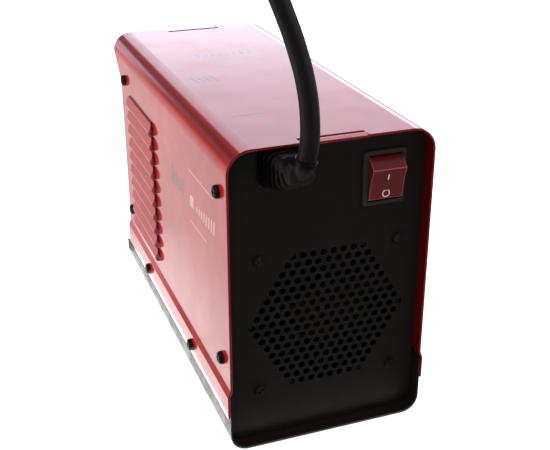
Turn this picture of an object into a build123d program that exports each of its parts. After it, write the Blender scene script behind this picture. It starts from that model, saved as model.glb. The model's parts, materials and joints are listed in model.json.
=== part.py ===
from build123d import *
import math
import os

# Stick welding inverter, in millimetres.
# Origin at the middle of the case's footprint, on the face that it rests on.
# +Z is up, -Y is the front (controls and output sockets), +Y is the rear (fan, switch and cable).

# ---------------------------------------------------------------- case
SHEET = 1.2                    # all sheet steel
CASE_WIDTH = 118.0             # over the flat upper sides of the cover
CASE_HEIGHT = 181.0
CASE_REAR_Y = 128.0            # rear edge of the cover and the tray
COVER_FRONT_Y = -120.0         # front edge of the cover's sides
VISOR_Y = -141.5               # front edge of its top, which stands out over the controls
VISOR_ROOT_Z = 151.0           # the side's front edge slopes out from here
VISOR_NOSE_Z = 171.0           # to here
VISOR_ROOT_R = 10.0
VISOR_NOSE_R = 8.0
TOP_CORNER_R = 13.5            # outside radius of the cover's top bends
BOTTOM_CORNER_R = 10.5         # outside radius of the tray's bottom bends
JOGGLE_STEP = 1.6              # the cover's lower strip stands out by this much
JOGGLE_TOP_Z = 41.0
JOGGLE_LOW_Z = 36.7
COVER_LOW_Z = 23.0             # lower edge of the cover
JOGGLE_BEND_R = 1.6
TRAY_HALF = 59.2               # outside half width of the tray
TRAY_TOP_Z = 36.0
TRAY_FRONT_Y = -136.0          # front end of the tray's lip
TRAY_LIP_Z = 17.0              # height of the lip's sides
RIM = 8.0                      # how far both end panels sit inside the case's rim
PANEL_GAP = 0.3                # between an end panel and the case around it
FLANGE_DEPTH = 12.0            # folded edges of the end panels

HALF_W = CASE_WIDTH / 2
STRIP_X = HALF_W + JOGGLE_STEP
PANEL_Y = CASE_REAR_Y - RIM    # outer face of the rear panel
PANEL_IN = PANEL_Y - SHEET     # its inner face
FRONT_Y = COVER_FRONT_Y + RIM  # outer face of the front panel
FRONT_IN = FRONT_Y + SHEET     # its inner face
PANEL_HALF = HALF_W - SHEET - PANEL_GAP
PANEL_TOP_Z = CASE_HEIGHT - SHEET - PANEL_GAP
PANEL_LOW_Z = SHEET + 0.05

# side louvres, pressed outwards and open at the bottom
LOUVRE_COUNT = 10
LOUVRE_PITCH = 10.0
LOUVRE_TOP_Z = 148.5
LOUVRE_HEIGHT = 8.8
LOUVRE_OUT = 3.2
LOUVRE_BROW_OUT = 1.3          # the face starts with a short steep brow
LOUVRE_BROW_DROP = 1.2
LOUVRE_FRONT_Y = -95.0
LOUVRE_REAR_Y = -24.5
LOUVRE_END = 3.0               # length of the rounded ends, seen from above
LOUVRE_SHOULDER = 6.0          # how much shorter the top line is at each end, seen from the side

# slots for a carrying strap, one near each end of the top
STRAP_SLOT_LENGTH = 38.0
STRAP_SLOT_WIDTH = 2.8
REAR_SLOT_Y = 122.5
FRONT_SLOT_Y = -132.0
STRAP_BAR_DIP = 0.5            # the bar outside each slot leans down by this much

# ---------------------------------------------------------------- fasteners
SCREW_R = 1.9                  # thread of the M4 and 3.9 mm screws
CLEAR_R = 2.1                  # holes that they pass through
PILOT_R = 1.95                 # holes that they thread into
HEAD_R = 3.8
HEAD_H = 2.8
SIDE_SCREW_Y = 114.0           # at the rear
SIDE_SCREW_Z = (55.0, 155.0)
BASE_SCREW_Y = 55.0
BASE_SCREW_Z = 29.5
PANEL_SCREW_X = 32.0
PANEL_SCREW_Y = PANEL_IN - FLANGE_DEPTH / 2
FRONT_SHIFT = FRONT_Y + PANEL_Y    # moves the rear panel's mirror image to the front panel's place
M3_R = 1.5

# ---------------------------------------------------------------- fan
FAN_X = -1.5
FAN_Z = 73.3
FAN_SIZE = 92.0
FAN_DEPTH = 25.0
FAN_HOLE_SPACING = 82.5
FAN_BORE_R = 44.5
FAN_HUB_R = 19.0
FAN_BLADES = 7
FAN_TIP_R = 43.4
FAN_SHAFT_R = 1.5
FAN_BEARING_R = 3.0
FAN_TUBE_R = 4.6
FAN_HEAD_R = 3.1               # heads of the four long fan screws
FAN_HEAD_H = 2.0
FAN_REAR_Y = PANEL_IN          # the frame bears on the rear panel
FAN_FRONT_Y = FAN_REAR_Y - FAN_DEPTH
HUB_FACE_Y = FAN_REAR_Y - 2.0

# hexagonal grille: rows of 8 to 16 and back to 8 round holes
GRILLE_ROWS = 17
GRILLE_SIDE_HOLES = 8
GRILLE_PITCH_X = 6.0
GRILLE_PITCH_Z = 5.0
GRILLE_HOLE_R = 2.1

# ---------------------------------------------------------------- mains switch
SWITCH_X = -32.7
SWITCH_Z = 153.0
BEZEL_W = 25.2
BEZEL_H = 31.4
BEZEL_PROUD = 2.0
SWITCH_CUT_W = 22.0
SWITCH_CUT_H = 30.0
SWITCH_DEPTH = 24.0
SWITCH_MOUTH_W = 20.3
SWITCH_MOUTH_H = 26.8
ROCKER_W = 19.8
ROCKER_TILT = 13.0             # degrees each side of the middle
ROCKER_PIVOT_Y = PANEL_Y - 5.0
ROCKER_RIDGE_OUT = 11.0        # from the pivot to the ridge, along the rocker's own middle line
ROCKER_RIDGE_HALF = 9.4
ROCKER_BEVEL_OUT = 6.5         # from the pivot to where the bevels below the ridges end
ROCKER_HOLLOW = 0.7            # how far the face dips between its two ridges
ROCKER_END_R = 13.8            # the ends are arcs about the pivot
ROCKER_BACK = 3.0              # the rocker's back, behind the pivot
ROCKER_BACK_HALF = 11.0
ROCKER_PIN_R = 1.5
BLADE_X = 5.5                  # the terminals' places about the switch's middle
BLADE_Z = 7.0
BLADE_LENGTH = 9.0

# ---------------------------------------------------------------- mains cable
CABLE_R = 5.0
CORE_R = 1.7
BOOT_X = 27.3
BOOT_Z = 166.5
BOOT_NECK_R = 9.9
BOOT_RINGS = 7
BOOT_RING_PITCH = 3.0
BOOT_RING_T = 1.9
BOOT_RING_HALF = 12.6          # half width of the first ring, a rounded rectangle
BOOT_RING_STEP = 0.66          # each ring is smaller than the one before
BOOT_RING_CORNER = 0.5         # corner radius as a share of the half width
BOOT_RING_LIFT = 1.1           # a ring's middle above the cable's; its height is less by twice this
BOOT_CORE_R = 5.9
BOOT_SLEEVE_LENGTH = 30.0      # how far the round sleeve reaches along the cable from the panel
BOOT_COLLAR_X = 24.7
BOOT_COLLAR_Z = 170.4
BOOT_COLLAR_W = 13.4
BOOT_COLLAR_H = 8.8
BOOT_COLLAR_R = 2.4
BOOT_COLLAR_IN = 16.0          # the collar's ends, out from the panel's face
BOOT_COLLAR_OUT = 24.2
CABLE_PATH = (
    (BOOT_X, PANEL_Y - 26.0, BOOT_Z - 0.5),
    (BOOT_X, PANEL_Y - 8.0, BOOT_Z),
    (26.8, PANEL_Y + 4.0, 166.8),
    (24.8, PANEL_Y + 16.5, 168.6),
    (22.6, PANEL_Y + 24.0, 177.5),
    (20.6, PANEL_Y + 23.5, 191.0),
    (20.4, PANEL_Y + 20.5, 207.0),
    (23.0, PANEL_Y + 16.5, 225.0),
    (29.0, PANEL_Y + 12.0, 246.0),
    (37.0, PANEL_Y + 7.0, 268.0),
    (46.0, PANEL_Y + 2.5, 290.0),
)
TAIL_CORE_LENGTH = 22.0
FERRULE_LENGTH = 8.0

# ---------------------------------------------------------------- front controls
FASCIA_T = 3.0
FASCIA_HALF = 50.0
FASCIA_LOW_Z = 96.0
FASCIA_TOP_Z = 172.0
FASCIA_Y = FRONT_Y - FASCIA_T
KNOB_Z = 122.0
KNOB_R = 13.0
KNOB_LENGTH = 16.0
KNOB_GAP = 0.8
POT_SHAFT_R = 3.0
POT_BUSH_R = 3.5
POT_NUT_AF = 10.0
WINDOW_Z = 155.0
WINDOW_W = 44.0
WINDOW_H = 18.0
LAMP_R = 2.5
LAMP_Z = (112.0, 122.0, 132.0)
LAMP_X = 36.0
FRONT_BOARD_Y = FRONT_IN + 11.0
AIR_SLOTS_EACH_SIDE = 5        # of the middle slot
AIR_SLOT_PITCH = 8.5
AIR_SLOT_W = 4.0
AIR_SLOT_LOW_Z = 64.0
AIR_SLOT_TOP_Z = 86.0

# ---------------------------------------------------------------- output sockets
SOCKET_X = 27.5
SOCKET_Z = 38.0
SOCKET_BORE_R = 4.55           # takes the 9 mm pin of a twist-lock plug
SOCKET_BORE_DEPTH = 26.0
SOCKET_KEY_W = 4.0
SOCKET_KEY_H = 2.6
SOCKET_FLANGE_R = 17.5
SOCKET_COLLAR_R = 14.5
SOCKET_NECK_R = 12.9
SOCKET_CONTACT_R = 9.9
SOCKET_FRONT_Y = FRONT_Y - 18.0
SOCKET_REAR_Y = FRONT_IN + 16.0
SOCKET_BOLT_R = 4.0
BUSBAR_T = 2.0

# ---------------------------------------------------------------- inside
BOARD_Z = 14.0
BOARD_T = 1.6
BOARD_HALF_W = 49.0
BOARD_FRONT_Y = -86.0
BOARD_REAR_Y = 86.0
BOARD_TOP = BOARD_Z + BOARD_T
STANDOFF_PLACES = [(x, y) for x in (-44.0, 44.0) for y in (-80.0, 0.0, 80.0)]
SINK_INNER_X = 13.0
SINK_BASE_T = 5.0
SINK_OUTER_X = 46.0
SINK_FIN_T = 1.6
SINK_FINS = 11
SINK_LOW_Z = 20.0
SINK_TOP_Z = 96.0
SINK_FRONT_Y = -18.0
SINK_REAR_Y = 56.0
DEVICE_PLACES = (-6.0, 13.0, 32.0)
TRANSFORMER_X = 22.0
CHOKE_X = -24.0
MAGNETICS_Y = -50.0
CONTROL_BOARD_Y = -76.0
CONTROL_BOARD_HEIGHT = 58.0
EARTH_X = -4.0
EARTH_Z = 140.0
EARTH_STUD_R = 2.5
EARTH_STUD_LENGTH = 16.0


# ================================================================ helpers
def block(x0, x1, y0, y1, z0, z1):
    """A box between two corners."""
    middle = Pos((x0 + x1) / 2, (y0 + y1) / 2, (z0 + z1) / 2)
    return middle * Box(abs(x1 - x0), abs(y1 - y0), abs(z1 - z0))


def rod_x(radius, x0, x1, y, z):
    """A cylinder along X."""
    return Pos((x0 + x1) / 2, y, z) * Rot(0, 90, 0) * Cylinder(radius, abs(x1 - x0))


def rod_y(radius, y0, y1, x, z):
    """A cylinder along Y."""
    return Pos(x, (y0 + y1) / 2, z) * Rot(90, 0, 0) * Cylinder(radius, abs(y1 - y0))


def rod_z(radius, z0, z1, x, y):
    """A cylinder along Z."""
    return Pos(x, y, (z0 + z1) / 2) * Cylinder(radius, abs(z1 - z0))


def prism_x(sketch, x0, x1):
    """A sketch drawn in (y, z), drawn out along X."""
    plane = Plane(origin=(x0, 0, 0), x_dir=(0, 1, 0), z_dir=(1, 0, 0))
    return extrude(plane * sketch, x1 - x0)


def prism_y(sketch, y0, y1):
    """A sketch drawn in (x, z), drawn out along Y."""
    plane = Plane(origin=(0, y1, 0), x_dir=(1, 0, 0), z_dir=(0, -1, 0))
    return extrude(plane * sketch, y1 - y0)


def prism_z(sketch, z0, z1):
    """A sketch drawn in (x, y), drawn out along Z."""
    return extrude(Pos(0, 0, z0) * sketch, z1 - z0)


def polygon(points):
    """A face through points, in their own coordinates."""
    return make_face(Polyline(*points, close=True))


def rounded_slot(x0, x1, z0, z1, corner):
    """A rectangle with rounded corners, in (x, z)."""
    middle = Pos((x0 + x1) / 2, (z0 + z1) / 2)
    return middle * RectangleRounded(x1 - x0, z1 - z0, corner)


def hexagon(across_flats):
    """A regular hexagon by its size across flats."""
    return RegularPolygon(across_flats / 2, 6, major_radius=False)


def corners_rounded(points, radii):
    """A polygon in which the corners at each listed height have that radius."""
    face = polygon(points)
    for height, radius in radii:
        chosen = [v for v in face.vertices() if abs(v.Y - height) < 0.01]
        face = fillet(chosen, radius)
    return face


def pan_screw(length, thread_r=SCREW_R, head_r=HEAD_R, head_h=HEAD_H):
    """A cross-head pan screw along Z, its head above z = 0 and its thread below."""
    head = Pos(0, 0, head_h / 2) * Cylinder(head_r, head_h)
    head = fillet(head.edges().group_by(Axis.Z)[-1], head_h * 0.55)
    cross_long = head_r * 1.1
    cross_wide = head_r * 0.26
    cross = Box(cross_long, cross_wide, head_h) + Box(cross_wide, cross_long, head_h)
    head -= Pos(0, 0, head_h) * cross
    return head + Pos(0, 0, -length / 2) * Cylinder(thread_r, length)


def hex_nut(across_flats, height, hole_r):
    """A hexagon nut on the XY plane."""
    return extrude(hexagon(across_flats) - Circle(hole_r), height)


def placed(shape, places):
    """Copies of one shape as separate solids, one at each place."""
    return Compound(children=[place * shape for place in places])


def tube_along(points, radius):
    """A round bar along a smooth curve through points."""
    path = Spline(*points)
    section = Plane(origin=path @ 0, z_dir=path % 0) * Circle(radius)
    return sweep(section, path)


# ================================================================ case
def louvre_outline(shrink):
    """A louvre's outline in (x, z), with its top at z = 0. shrink 0 is the outside."""
    root_x = HALF_W - SHEET - shrink
    top = (HALF_W - shrink, -shrink)
    brow = (HALF_W + LOUVRE_BROW_OUT - shrink, -LOUVRE_BROW_DROP - shrink * 0.6)
    belly = (HALF_W + LOUVRE_OUT - shrink, -LOUVRE_HEIGHT * 0.78 - shrink * 0.2)
    bulge = (HALF_W + LOUVRE_OUT * 0.98 - shrink, -LOUVRE_HEIGHT * 0.89 - shrink * 0.1)
    lip = (HALF_W + LOUVRE_OUT * 0.80 - shrink, -LOUVRE_HEIGHT - shrink * 0.2)
    outline = Polyline((root_x, lip[1]), (root_x, top[1]), top, brow, belly)
    outline += ThreePointArc(belly, bulge, lip)
    outline += Line(lip, (root_x, lip[1]))
    return make_face(outline)


def louvre_plan(shrink):
    """A louvre's outline from above, in (x, y), with rounded ends."""
    root_x = HALF_W - SHEET - 1
    out_x = HALF_W + LOUVRE_OUT - shrink
    front = LOUVRE_FRONT_Y + shrink
    rear = LOUVRE_REAR_Y - shrink
    end = LOUVRE_END
    outline = Polyline((HALF_W, front), (root_x, front), (root_x, rear), (HALF_W, rear))
    outline += EllipticalCenterArc(
        (HALF_W, rear - end), out_x - HALF_W, end, start_angle=0, arc_size=90
    )
    outline += Line((out_x, rear - end), (out_x, front + end))
    outline += EllipticalCenterArc(
        (HALF_W, front + end), out_x - HALF_W, end, start_angle=270, arc_size=90
    )
    return make_face(outline)


def louvre_side(shrink):
    """A louvre's outline from the side, in (y, z), with its upper corners rounded off."""
    front = LOUVRE_FRONT_Y + shrink
    rear = LOUVRE_REAR_Y - shrink
    low = -2 * LOUVRE_HEIGHT
    shoulder = LOUVRE_SHOULDER
    outline = Polyline((rear, -shoulder), (rear, low), (front, low), (front, -shoulder))
    outline += EllipticalCenterArc(
        (front + shoulder, -shoulder), shoulder, shoulder, start_angle=90, arc_size=90
    )
    outline += Line((front + shoulder, 0), (rear - shoulder, 0))
    outline += EllipticalCenterArc(
        (rear - shoulder, -shoulder), shoulder, shoulder, start_angle=0, arc_size=90
    )
    return make_face(outline)


def louvre_body(shrink):
    """One louvre's outside (shrink 0) or the room inside it."""
    along = prism_y(louvre_outline(shrink), LOUVRE_FRONT_Y, LOUVRE_REAR_Y)
    down = prism_z(louvre_plan(shrink), -2 * LOUVRE_HEIGHT, LOUVRE_HEIGHT)
    across = prism_x(louvre_side(shrink), 0, CASE_WIDTH)
    return along & down & across


def cover_section():
    """The cover's bent sheet, in (x, z): two sides, the top, and a joggled strip below."""
    faces = []
    for inset, bend in ((0.0, JOGGLE_BEND_R), (SHEET, JOGGLE_BEND_R * 0.7)):
        low = COVER_LOW_Z - inset * 2
        half = HALF_W - inset
        strip = STRIP_X - inset
        top = CASE_HEIGHT - inset
        right = [(strip, low), (strip, JOGGLE_LOW_Z), (half, JOGGLE_TOP_Z), (half, top)]
        left = [(-x, z) for x, z in reversed(right)]
        radii = ((top, TOP_CORNER_R - inset), (JOGGLE_TOP_Z, bend), (JOGGLE_LOW_Z, bend))
        faces.append(corners_rounded(right + left, radii))
    return faces[0] - faces[1]


def strap_slot(slot_y, end_y):
    """What a strap slot and its bar take out of the top, from the slot to the end of the case."""
    sign = 1 if end_y > slot_y else -1
    inner = slot_y - sign * STRAP_SLOT_WIDTH / 2
    half = STRAP_SLOT_LENGTH / 2
    return block(-half, half, inner, end_y + sign, CASE_HEIGHT - 2 * SHEET, CASE_HEIGHT + 1)


def strap_bar(slot_y, end_y):
    """The bar outside a strap slot, which leans down towards the end of the case."""
    sign = 1 if end_y > slot_y else -1
    inner = slot_y + sign * STRAP_SLOT_WIDTH / 2
    top = CASE_HEIGHT
    low = top - STRAP_BAR_DIP
    bar = polygon([(inner, top), (end_y, low), (end_y, low - SHEET), (inner, top - SHEET)])
    return prism_x(bar, -STRAP_SLOT_LENGTH / 2, STRAP_SLOT_LENGTH / 2)


def below_visor():
    """The room in front of the cover's sides and under its visor, in (y, z)."""
    ahead = VISOR_Y - 5.0
    face = polygon([
        (ahead, 0), (COVER_FRONT_Y, 0), (COVER_FRONT_Y, VISOR_ROOT_Z),
        (VISOR_Y, VISOR_NOSE_Z), (VISOR_Y, CASE_HEIGHT + 5), (ahead, CASE_HEIGHT + 5),
    ])
    for height, radius in ((VISOR_ROOT_Z, VISOR_ROOT_R), (VISOR_NOSE_Z, VISOR_NOSE_R)):
        chosen = [v for v in face.vertices() if abs(v.Y - height) < 0.01]
        face = fillet(chosen, radius)
    return face


def cover_shell():
    """The red sheet cover with its visor, louvres, strap slots and screw holes."""
    cover = prism_y(cover_section(), VISOR_Y, CASE_REAR_Y)
    cover -= prism_x(below_visor(), -CASE_WIDTH, CASE_WIDTH)
    hood = louvre_body(0)
    hollow = louvre_body(SHEET * 0.7)
    rows = [Pos(0, 0, LOUVRE_TOP_Z - i * LOUVRE_PITCH) for i in range(LOUVRE_COUNT)]
    hoods = [row * hood for row in rows]
    hollows = [row * hollow for row in rows]
    cover += hoods + [mirror(h, Plane.YZ) for h in hoods]
    cover -= hollows + [mirror(h, Plane.YZ) for h in hollows]
    for slot_y, end_y in ((REAR_SLOT_Y, CASE_REAR_Y), (FRONT_SLOT_Y, VISOR_Y)):
        cover -= strap_slot(slot_y, end_y)
        cover += strap_bar(slot_y, end_y)
    for y in side_screw_rows():
        for z in SIDE_SCREW_Z:
            cover -= rod_x(CLEAR_R, -HALF_W - 1, HALF_W + 1, y, z)
    for y in (-BASE_SCREW_Y, BASE_SCREW_Y):
        cover -= rod_x(CLEAR_R, -STRIP_X - 1, STRIP_X + 1, y, BASE_SCREW_Z)
    return cover


def side_screw_rows():
    """Where the cover's side screws sit along the case: at the front and at the rear panel."""
    return (FRONT_SHIFT - SIDE_SCREW_Y, SIDE_SCREW_Y)


def panel_screw_rows():
    """Where the end panels' bottom screws sit along the case."""
    return (FRONT_SHIFT - PANEL_SCREW_Y, PANEL_SCREW_Y)


def tray_section():
    """The tray's bent sheet, in (x, z)."""
    faces = []
    for inset in (0.0, SHEET):
        half = TRAY_HALF - inset
        top = TRAY_TOP_Z + inset * 2
        points = [(-half, top), (-half, inset), (half, inset), (half, top)]
        faces.append(corners_rounded(points, ((inset, BOTTOM_CORNER_R - inset),)))
    return faces[0] - faces[1]


def chassis_tray():
    """The black bottom tray, open at both ends, with a low lip in front of the cover."""
    tray = prism_y(tray_section(), TRAY_FRONT_Y, CASE_REAR_Y)
    half = TRAY_HALF + 1
    tray -= block(-half, half, TRAY_FRONT_Y - 1, COVER_FRONT_Y, TRAY_LIP_Z, TRAY_TOP_Z + 1)
    for y in (-BASE_SCREW_Y, BASE_SCREW_Y):
        tray -= rod_x(PILOT_R, -half, half, y, BASE_SCREW_Z)
    for y in panel_screw_rows():
        for x in (-PANEL_SCREW_X, PANEL_SCREW_X):
            tray -= rod_z(PILOT_R, -1, 2 * SHEET, x, y)
    return tray


def end_panel():
    """A blank end panel at the rear: a plate with side, top and bottom flanges."""
    half = PANEL_HALF
    points = [(-half, PANEL_LOW_Z), (half, PANEL_LOW_Z), (half, PANEL_TOP_Z), (-half, PANEL_TOP_Z)]
    top_r = TOP_CORNER_R - SHEET
    low_r = BOTTOM_CORNER_R - SHEET
    outline = corners_rounded(points, ((PANEL_TOP_Z, top_r), (PANEL_LOW_Z, low_r)))
    panel = prism_y(outline, PANEL_IN, PANEL_Y)
    front = PANEL_IN - FLANGE_DEPTH
    side_low = 20.0
    side_top = PANEL_TOP_Z - top_r - 1
    flange_half = half - top_r - 1
    for sign in (-1, 1):
        panel += block(sign * half, sign * (half - SHEET), front, PANEL_Y - 0.1, side_low, side_top)
        for z in SIDE_SCREW_Z:
            panel -= rod_x(PILOT_R, sign * (half - 3), sign * (half + 1), SIDE_SCREW_Y, z)
    panel += block(
        -flange_half, flange_half, front, PANEL_Y - 0.1, PANEL_LOW_Z, PANEL_LOW_Z + SHEET
    )
    panel += block(
        -flange_half, flange_half, front, PANEL_Y - 0.1, PANEL_TOP_Z - SHEET, PANEL_TOP_Z
    )
    for x in (-PANEL_SCREW_X, PANEL_SCREW_X):
        panel -= rod_z(CLEAR_R, 0, 4 * SHEET, x, PANEL_SCREW_Y)
    return panel


def grille_holes():
    """The centres of the grille's holes, in (x, z)."""
    middle = GRILLE_ROWS // 2
    centres = []
    for row in range(GRILLE_ROWS):
        count = GRILLE_SIDE_HOLES + middle - abs(row - middle)
        z = FAN_Z + (row - middle) * GRILLE_PITCH_Z
        first_x = FAN_X - (count - 1) * GRILLE_PITCH_X / 2
        centres += [(first_x + i * GRILLE_PITCH_X, z) for i in range(count)]
    return centres


def fan_corners():
    """The fan's four fixing centres, in (x, z)."""
    half = FAN_HOLE_SPACING / 2
    return [(FAN_X + i * half, FAN_Z + j * half) for i in (-1, 1) for j in (-1, 1)]


def rear_panel():
    """The black rear panel: fan grille, switch cut-out and cable hole."""
    holes = Sketch() + [Pos(x, z) * Circle(GRILLE_HOLE_R) for x, z in grille_holes()]
    holes += [Pos(x, z) * Circle(CLEAR_R) for x, z in fan_corners()]
    holes += Pos(SWITCH_X, SWITCH_Z) * Rectangle(SWITCH_CUT_W, SWITCH_CUT_H)
    holes += Pos(BOOT_X, BOOT_Z) * Circle(BOOT_NECK_R + 0.1)
    panel = end_panel() - prism_y(holes, PANEL_IN - 1, PANEL_Y + 1)
    # the top flange stops short around the cable and its locknut
    flange_z = PANEL_TOP_Z - 2 * SHEET
    return panel - block(BOOT_X - 15, BOOT_X + 15, 0, PANEL_IN - 0.01, flange_z, CASE_HEIGHT)


def front_panel():
    """The black front panel: socket holes, a row of air slots and openings for the controls."""
    holes = Sketch()
    holes += [Pos(x, SOCKET_Z) * Circle(SOCKET_NECK_R + 0.1) for x in (-SOCKET_X, SOCKET_X)]
    half = AIR_SLOT_W / 2
    for i in range(-AIR_SLOTS_EACH_SIDE, AIR_SLOTS_EACH_SIDE + 1):
        x = i * AIR_SLOT_PITCH
        holes += rounded_slot(x - half, x + half, AIR_SLOT_LOW_Z, AIR_SLOT_TOP_Z, half - 0.01)
    holes += control_openings(0.2)
    panel = Pos(0, FRONT_SHIFT, 0) * mirror(end_panel(), Plane.XZ)
    return panel - prism_y(holes, FRONT_Y - 1, FRONT_IN + 1)


# ================================================================ fasteners
def cover_side_screws():
    """Eight screws that hold the cover to the end panels' side flanges."""
    places = []
    for sign in (-1, 1):
        for y in side_screw_rows():
            places += [Pos(sign * HALF_W, y, z) * Rot(0, sign * 90, 0) for z in SIDE_SCREW_Z]
    return placed(pan_screw(8.0), places)


def cover_base_screws():
    """Four screws that hold the cover's lower strip to the tray."""
    places = []
    for sign in (-1, 1):
        for y in (-BASE_SCREW_Y, BASE_SCREW_Y):
            places.append(Pos(sign * STRIP_X, y, BASE_SCREW_Z) * Rot(0, sign * 90, 0))
    return placed(pan_screw(8.0), places)


def panel_base_screws():
    """Four screws that hold the end panels' bottom flanges to the tray."""
    head_z = PANEL_LOW_Z + SHEET
    corners = [(x, y) for x in (-PANEL_SCREW_X, PANEL_SCREW_X) for y in panel_screw_rows()]
    return placed(pan_screw(head_z - 0.2), [Pos(x, y, head_z) for x, y in corners])


def fan_screws():
    """Four long screws through the rear panel and the fan's corners."""
    length = PANEL_Y - FAN_FRONT_Y + 5.0
    screw = pan_screw(length, head_r=FAN_HEAD_R, head_h=FAN_HEAD_H)
    places = [Pos(x, PANEL_Y, z) * Rot(-90, 0, 0) for x, z in fan_corners()]
    return placed(screw, places)


def fan_nuts():
    """Four nuts on the fan screws, on the fan's inner side."""
    nut = hex_nut(7.0, 3.2, SCREW_R)
    return placed(nut, [Pos(x, FAN_FRONT_Y, z) * Rot(90, 0, 0) for x, z in fan_corners()])


# ================================================================ fan
def fan_frame():
    """The fan's moulded frame, with the arms and the bearing tube that carry the motor."""
    half = FAN_SIZE / 2
    square = Pos(FAN_X, FAN_Z) * RectangleRounded(FAN_SIZE, FAN_SIZE, 4.0)
    duct = Pos(FAN_X, FAN_Z) * Circle(half - 0.1)
    bore = Pos(FAN_X, FAN_Z) * Circle(FAN_BORE_R)
    flange_t = 4.0
    frame = prism_y(duct, FAN_FRONT_Y, FAN_REAR_Y)
    frame += prism_y(square, FAN_FRONT_Y, FAN_FRONT_Y + flange_t)
    frame += prism_y(square, FAN_REAR_Y - flange_t, FAN_REAR_Y)
    frame -= prism_y(bore, FAN_FRONT_Y - 1, FAN_REAR_Y + 1)
    for x, z in fan_corners():
        frame -= rod_y(CLEAR_R + 0.1, FAN_FRONT_Y - 1, FAN_REAR_Y + 1, x, z)
    base_t = 2.5
    arm_half = 2.5
    for angle in (45, 135, 225, 315):
        arm = block(FAN_HUB_R - 3, FAN_BORE_R + 0.5, FAN_FRONT_Y, FAN_FRONT_Y + base_t, -arm_half, arm_half)
        frame += Pos(FAN_X, 0, FAN_Z) * Rot(0, angle, 0) * arm
    frame += rod_y(FAN_HUB_R, FAN_FRONT_Y, FAN_FRONT_Y + base_t, FAN_X, FAN_Z)
    frame += rod_y(FAN_TUBE_R, FAN_FRONT_Y, HUB_FACE_Y - 4.5, FAN_X, FAN_Z)
    return frame - rod_y(FAN_BEARING_R, FAN_FRONT_Y + 1, FAN_REAR_Y, FAN_X, FAN_Z)


def fan_bearings():
    """Two small bearings in the fan's bearing tube."""
    rings = []
    for y0 in (FAN_FRONT_Y + 3.0, HUB_FACE_Y - 8.5):
        ring = rod_y(FAN_BEARING_R, y0, y0 + 3.5, FAN_X, FAN_Z)
        rings.append(ring - rod_y(FAN_SHAFT_R + 0.05, y0 - 1, y0 + 5, FAN_X, FAN_Z))
    return Compound(children=rings)


def fan_stator():
    """The motor's laminated core with four wound poles, around the bearing tube."""
    y0 = FAN_FRONT_Y + 5.0
    y1 = HUB_FACE_Y - 6.0
    pole_r = 12.4
    stator = rod_y(pole_r, y0 + 2, y1 - 2, FAN_X, FAN_Z)
    for angle in (0, 90, 180, 270):
        coil = block(5.0, pole_r - 1.6, y0, y1, -3.4, 3.4)
        stator += Pos(FAN_X, 0, FAN_Z) * Rot(0, angle, 0) * coil
        notch = block(6.5, pole_r + 1, y0, y1, -1.0, 1.0)
        stator -= Pos(FAN_X, 0, FAN_Z) * Rot(0, angle + 45, 0) * notch
    return stator - rod_y(FAN_TUBE_R, y0 - 1, y1 + 1, FAN_X, FAN_Z)


def fan_blade():
    """One twisted blade that stands out along +X from the hub, about the fan's own axis."""
    depth = 19.0
    thick = 1.7
    middle_y = (FAN_FRONT_Y + HUB_FACE_Y) / 2 + 1.0
    sections = []
    for radius, pitch in ((FAN_HUB_R - 1.5, 52.0), (FAN_TIP_R + 2.0, 34.0)):
        chord = depth / math.sin(math.radians(pitch)) * (0.92 if radius < FAN_TIP_R else 0.8)
        plane = Plane(origin=(radius, middle_y, 0), x_dir=(0, 1, 0), z_dir=(1, 0, 0))
        sections.append(plane * Rot(0, 0, 90 - pitch) * RectangleRounded(chord, thick, thick / 2 - 0.05))
    return loft(sections)


def fan_rotor():
    """The fan's hub cup and its blades."""
    y0 = FAN_FRONT_Y + 3.6
    hub = Rot(90, 0, 0) * Cylinder(FAN_HUB_R, HUB_FACE_Y - y0)
    hub = Pos(0, (HUB_FACE_Y + y0) / 2, 0) * hub
    hub = fillet(hub.edges().group_by(Axis.Y)[-1], 2.0)
    blade = fan_blade()
    rotor = hub + [Rot(0, i * 360 / FAN_BLADES, 0) * blade for i in range(FAN_BLADES)]
    rotor &= rod_y(FAN_TIP_R, FAN_FRONT_Y + 3.0, HUB_FACE_Y, 0, 0)
    rotor -= rod_y(FAN_HUB_R - 1.8, y0 - 2, HUB_FACE_Y - 2.5, 0, 0)
    rotor += rod_y(3.4, HUB_FACE_Y - 4.2, HUB_FACE_Y - 1, 0, 0)
    rotor -= rod_y(FAN_SHAFT_R, FAN_FRONT_Y, HUB_FACE_Y - 1.2, 0, 0)
    return Pos(FAN_X, 0, FAN_Z) * rotor


def fan_magnet_ring():
    """The steel cup with the ring magnet, pressed into the hub."""
    y0 = FAN_FRONT_Y + 4.2
    y1 = HUB_FACE_Y - 3.0
    ring = rod_y(FAN_HUB_R - 1.8, y0, y1, FAN_X, FAN_Z)
    return ring - rod_y(13.2, y0 - 1, y1 + 1, FAN_X, FAN_Z)


def fan_shaft():
    """The rotor's steel shaft, which runs in the two bearings."""
    return rod_y(FAN_SHAFT_R, FAN_FRONT_Y + 2.2, HUB_FACE_Y - 1.2, FAN_X, FAN_Z)


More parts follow.
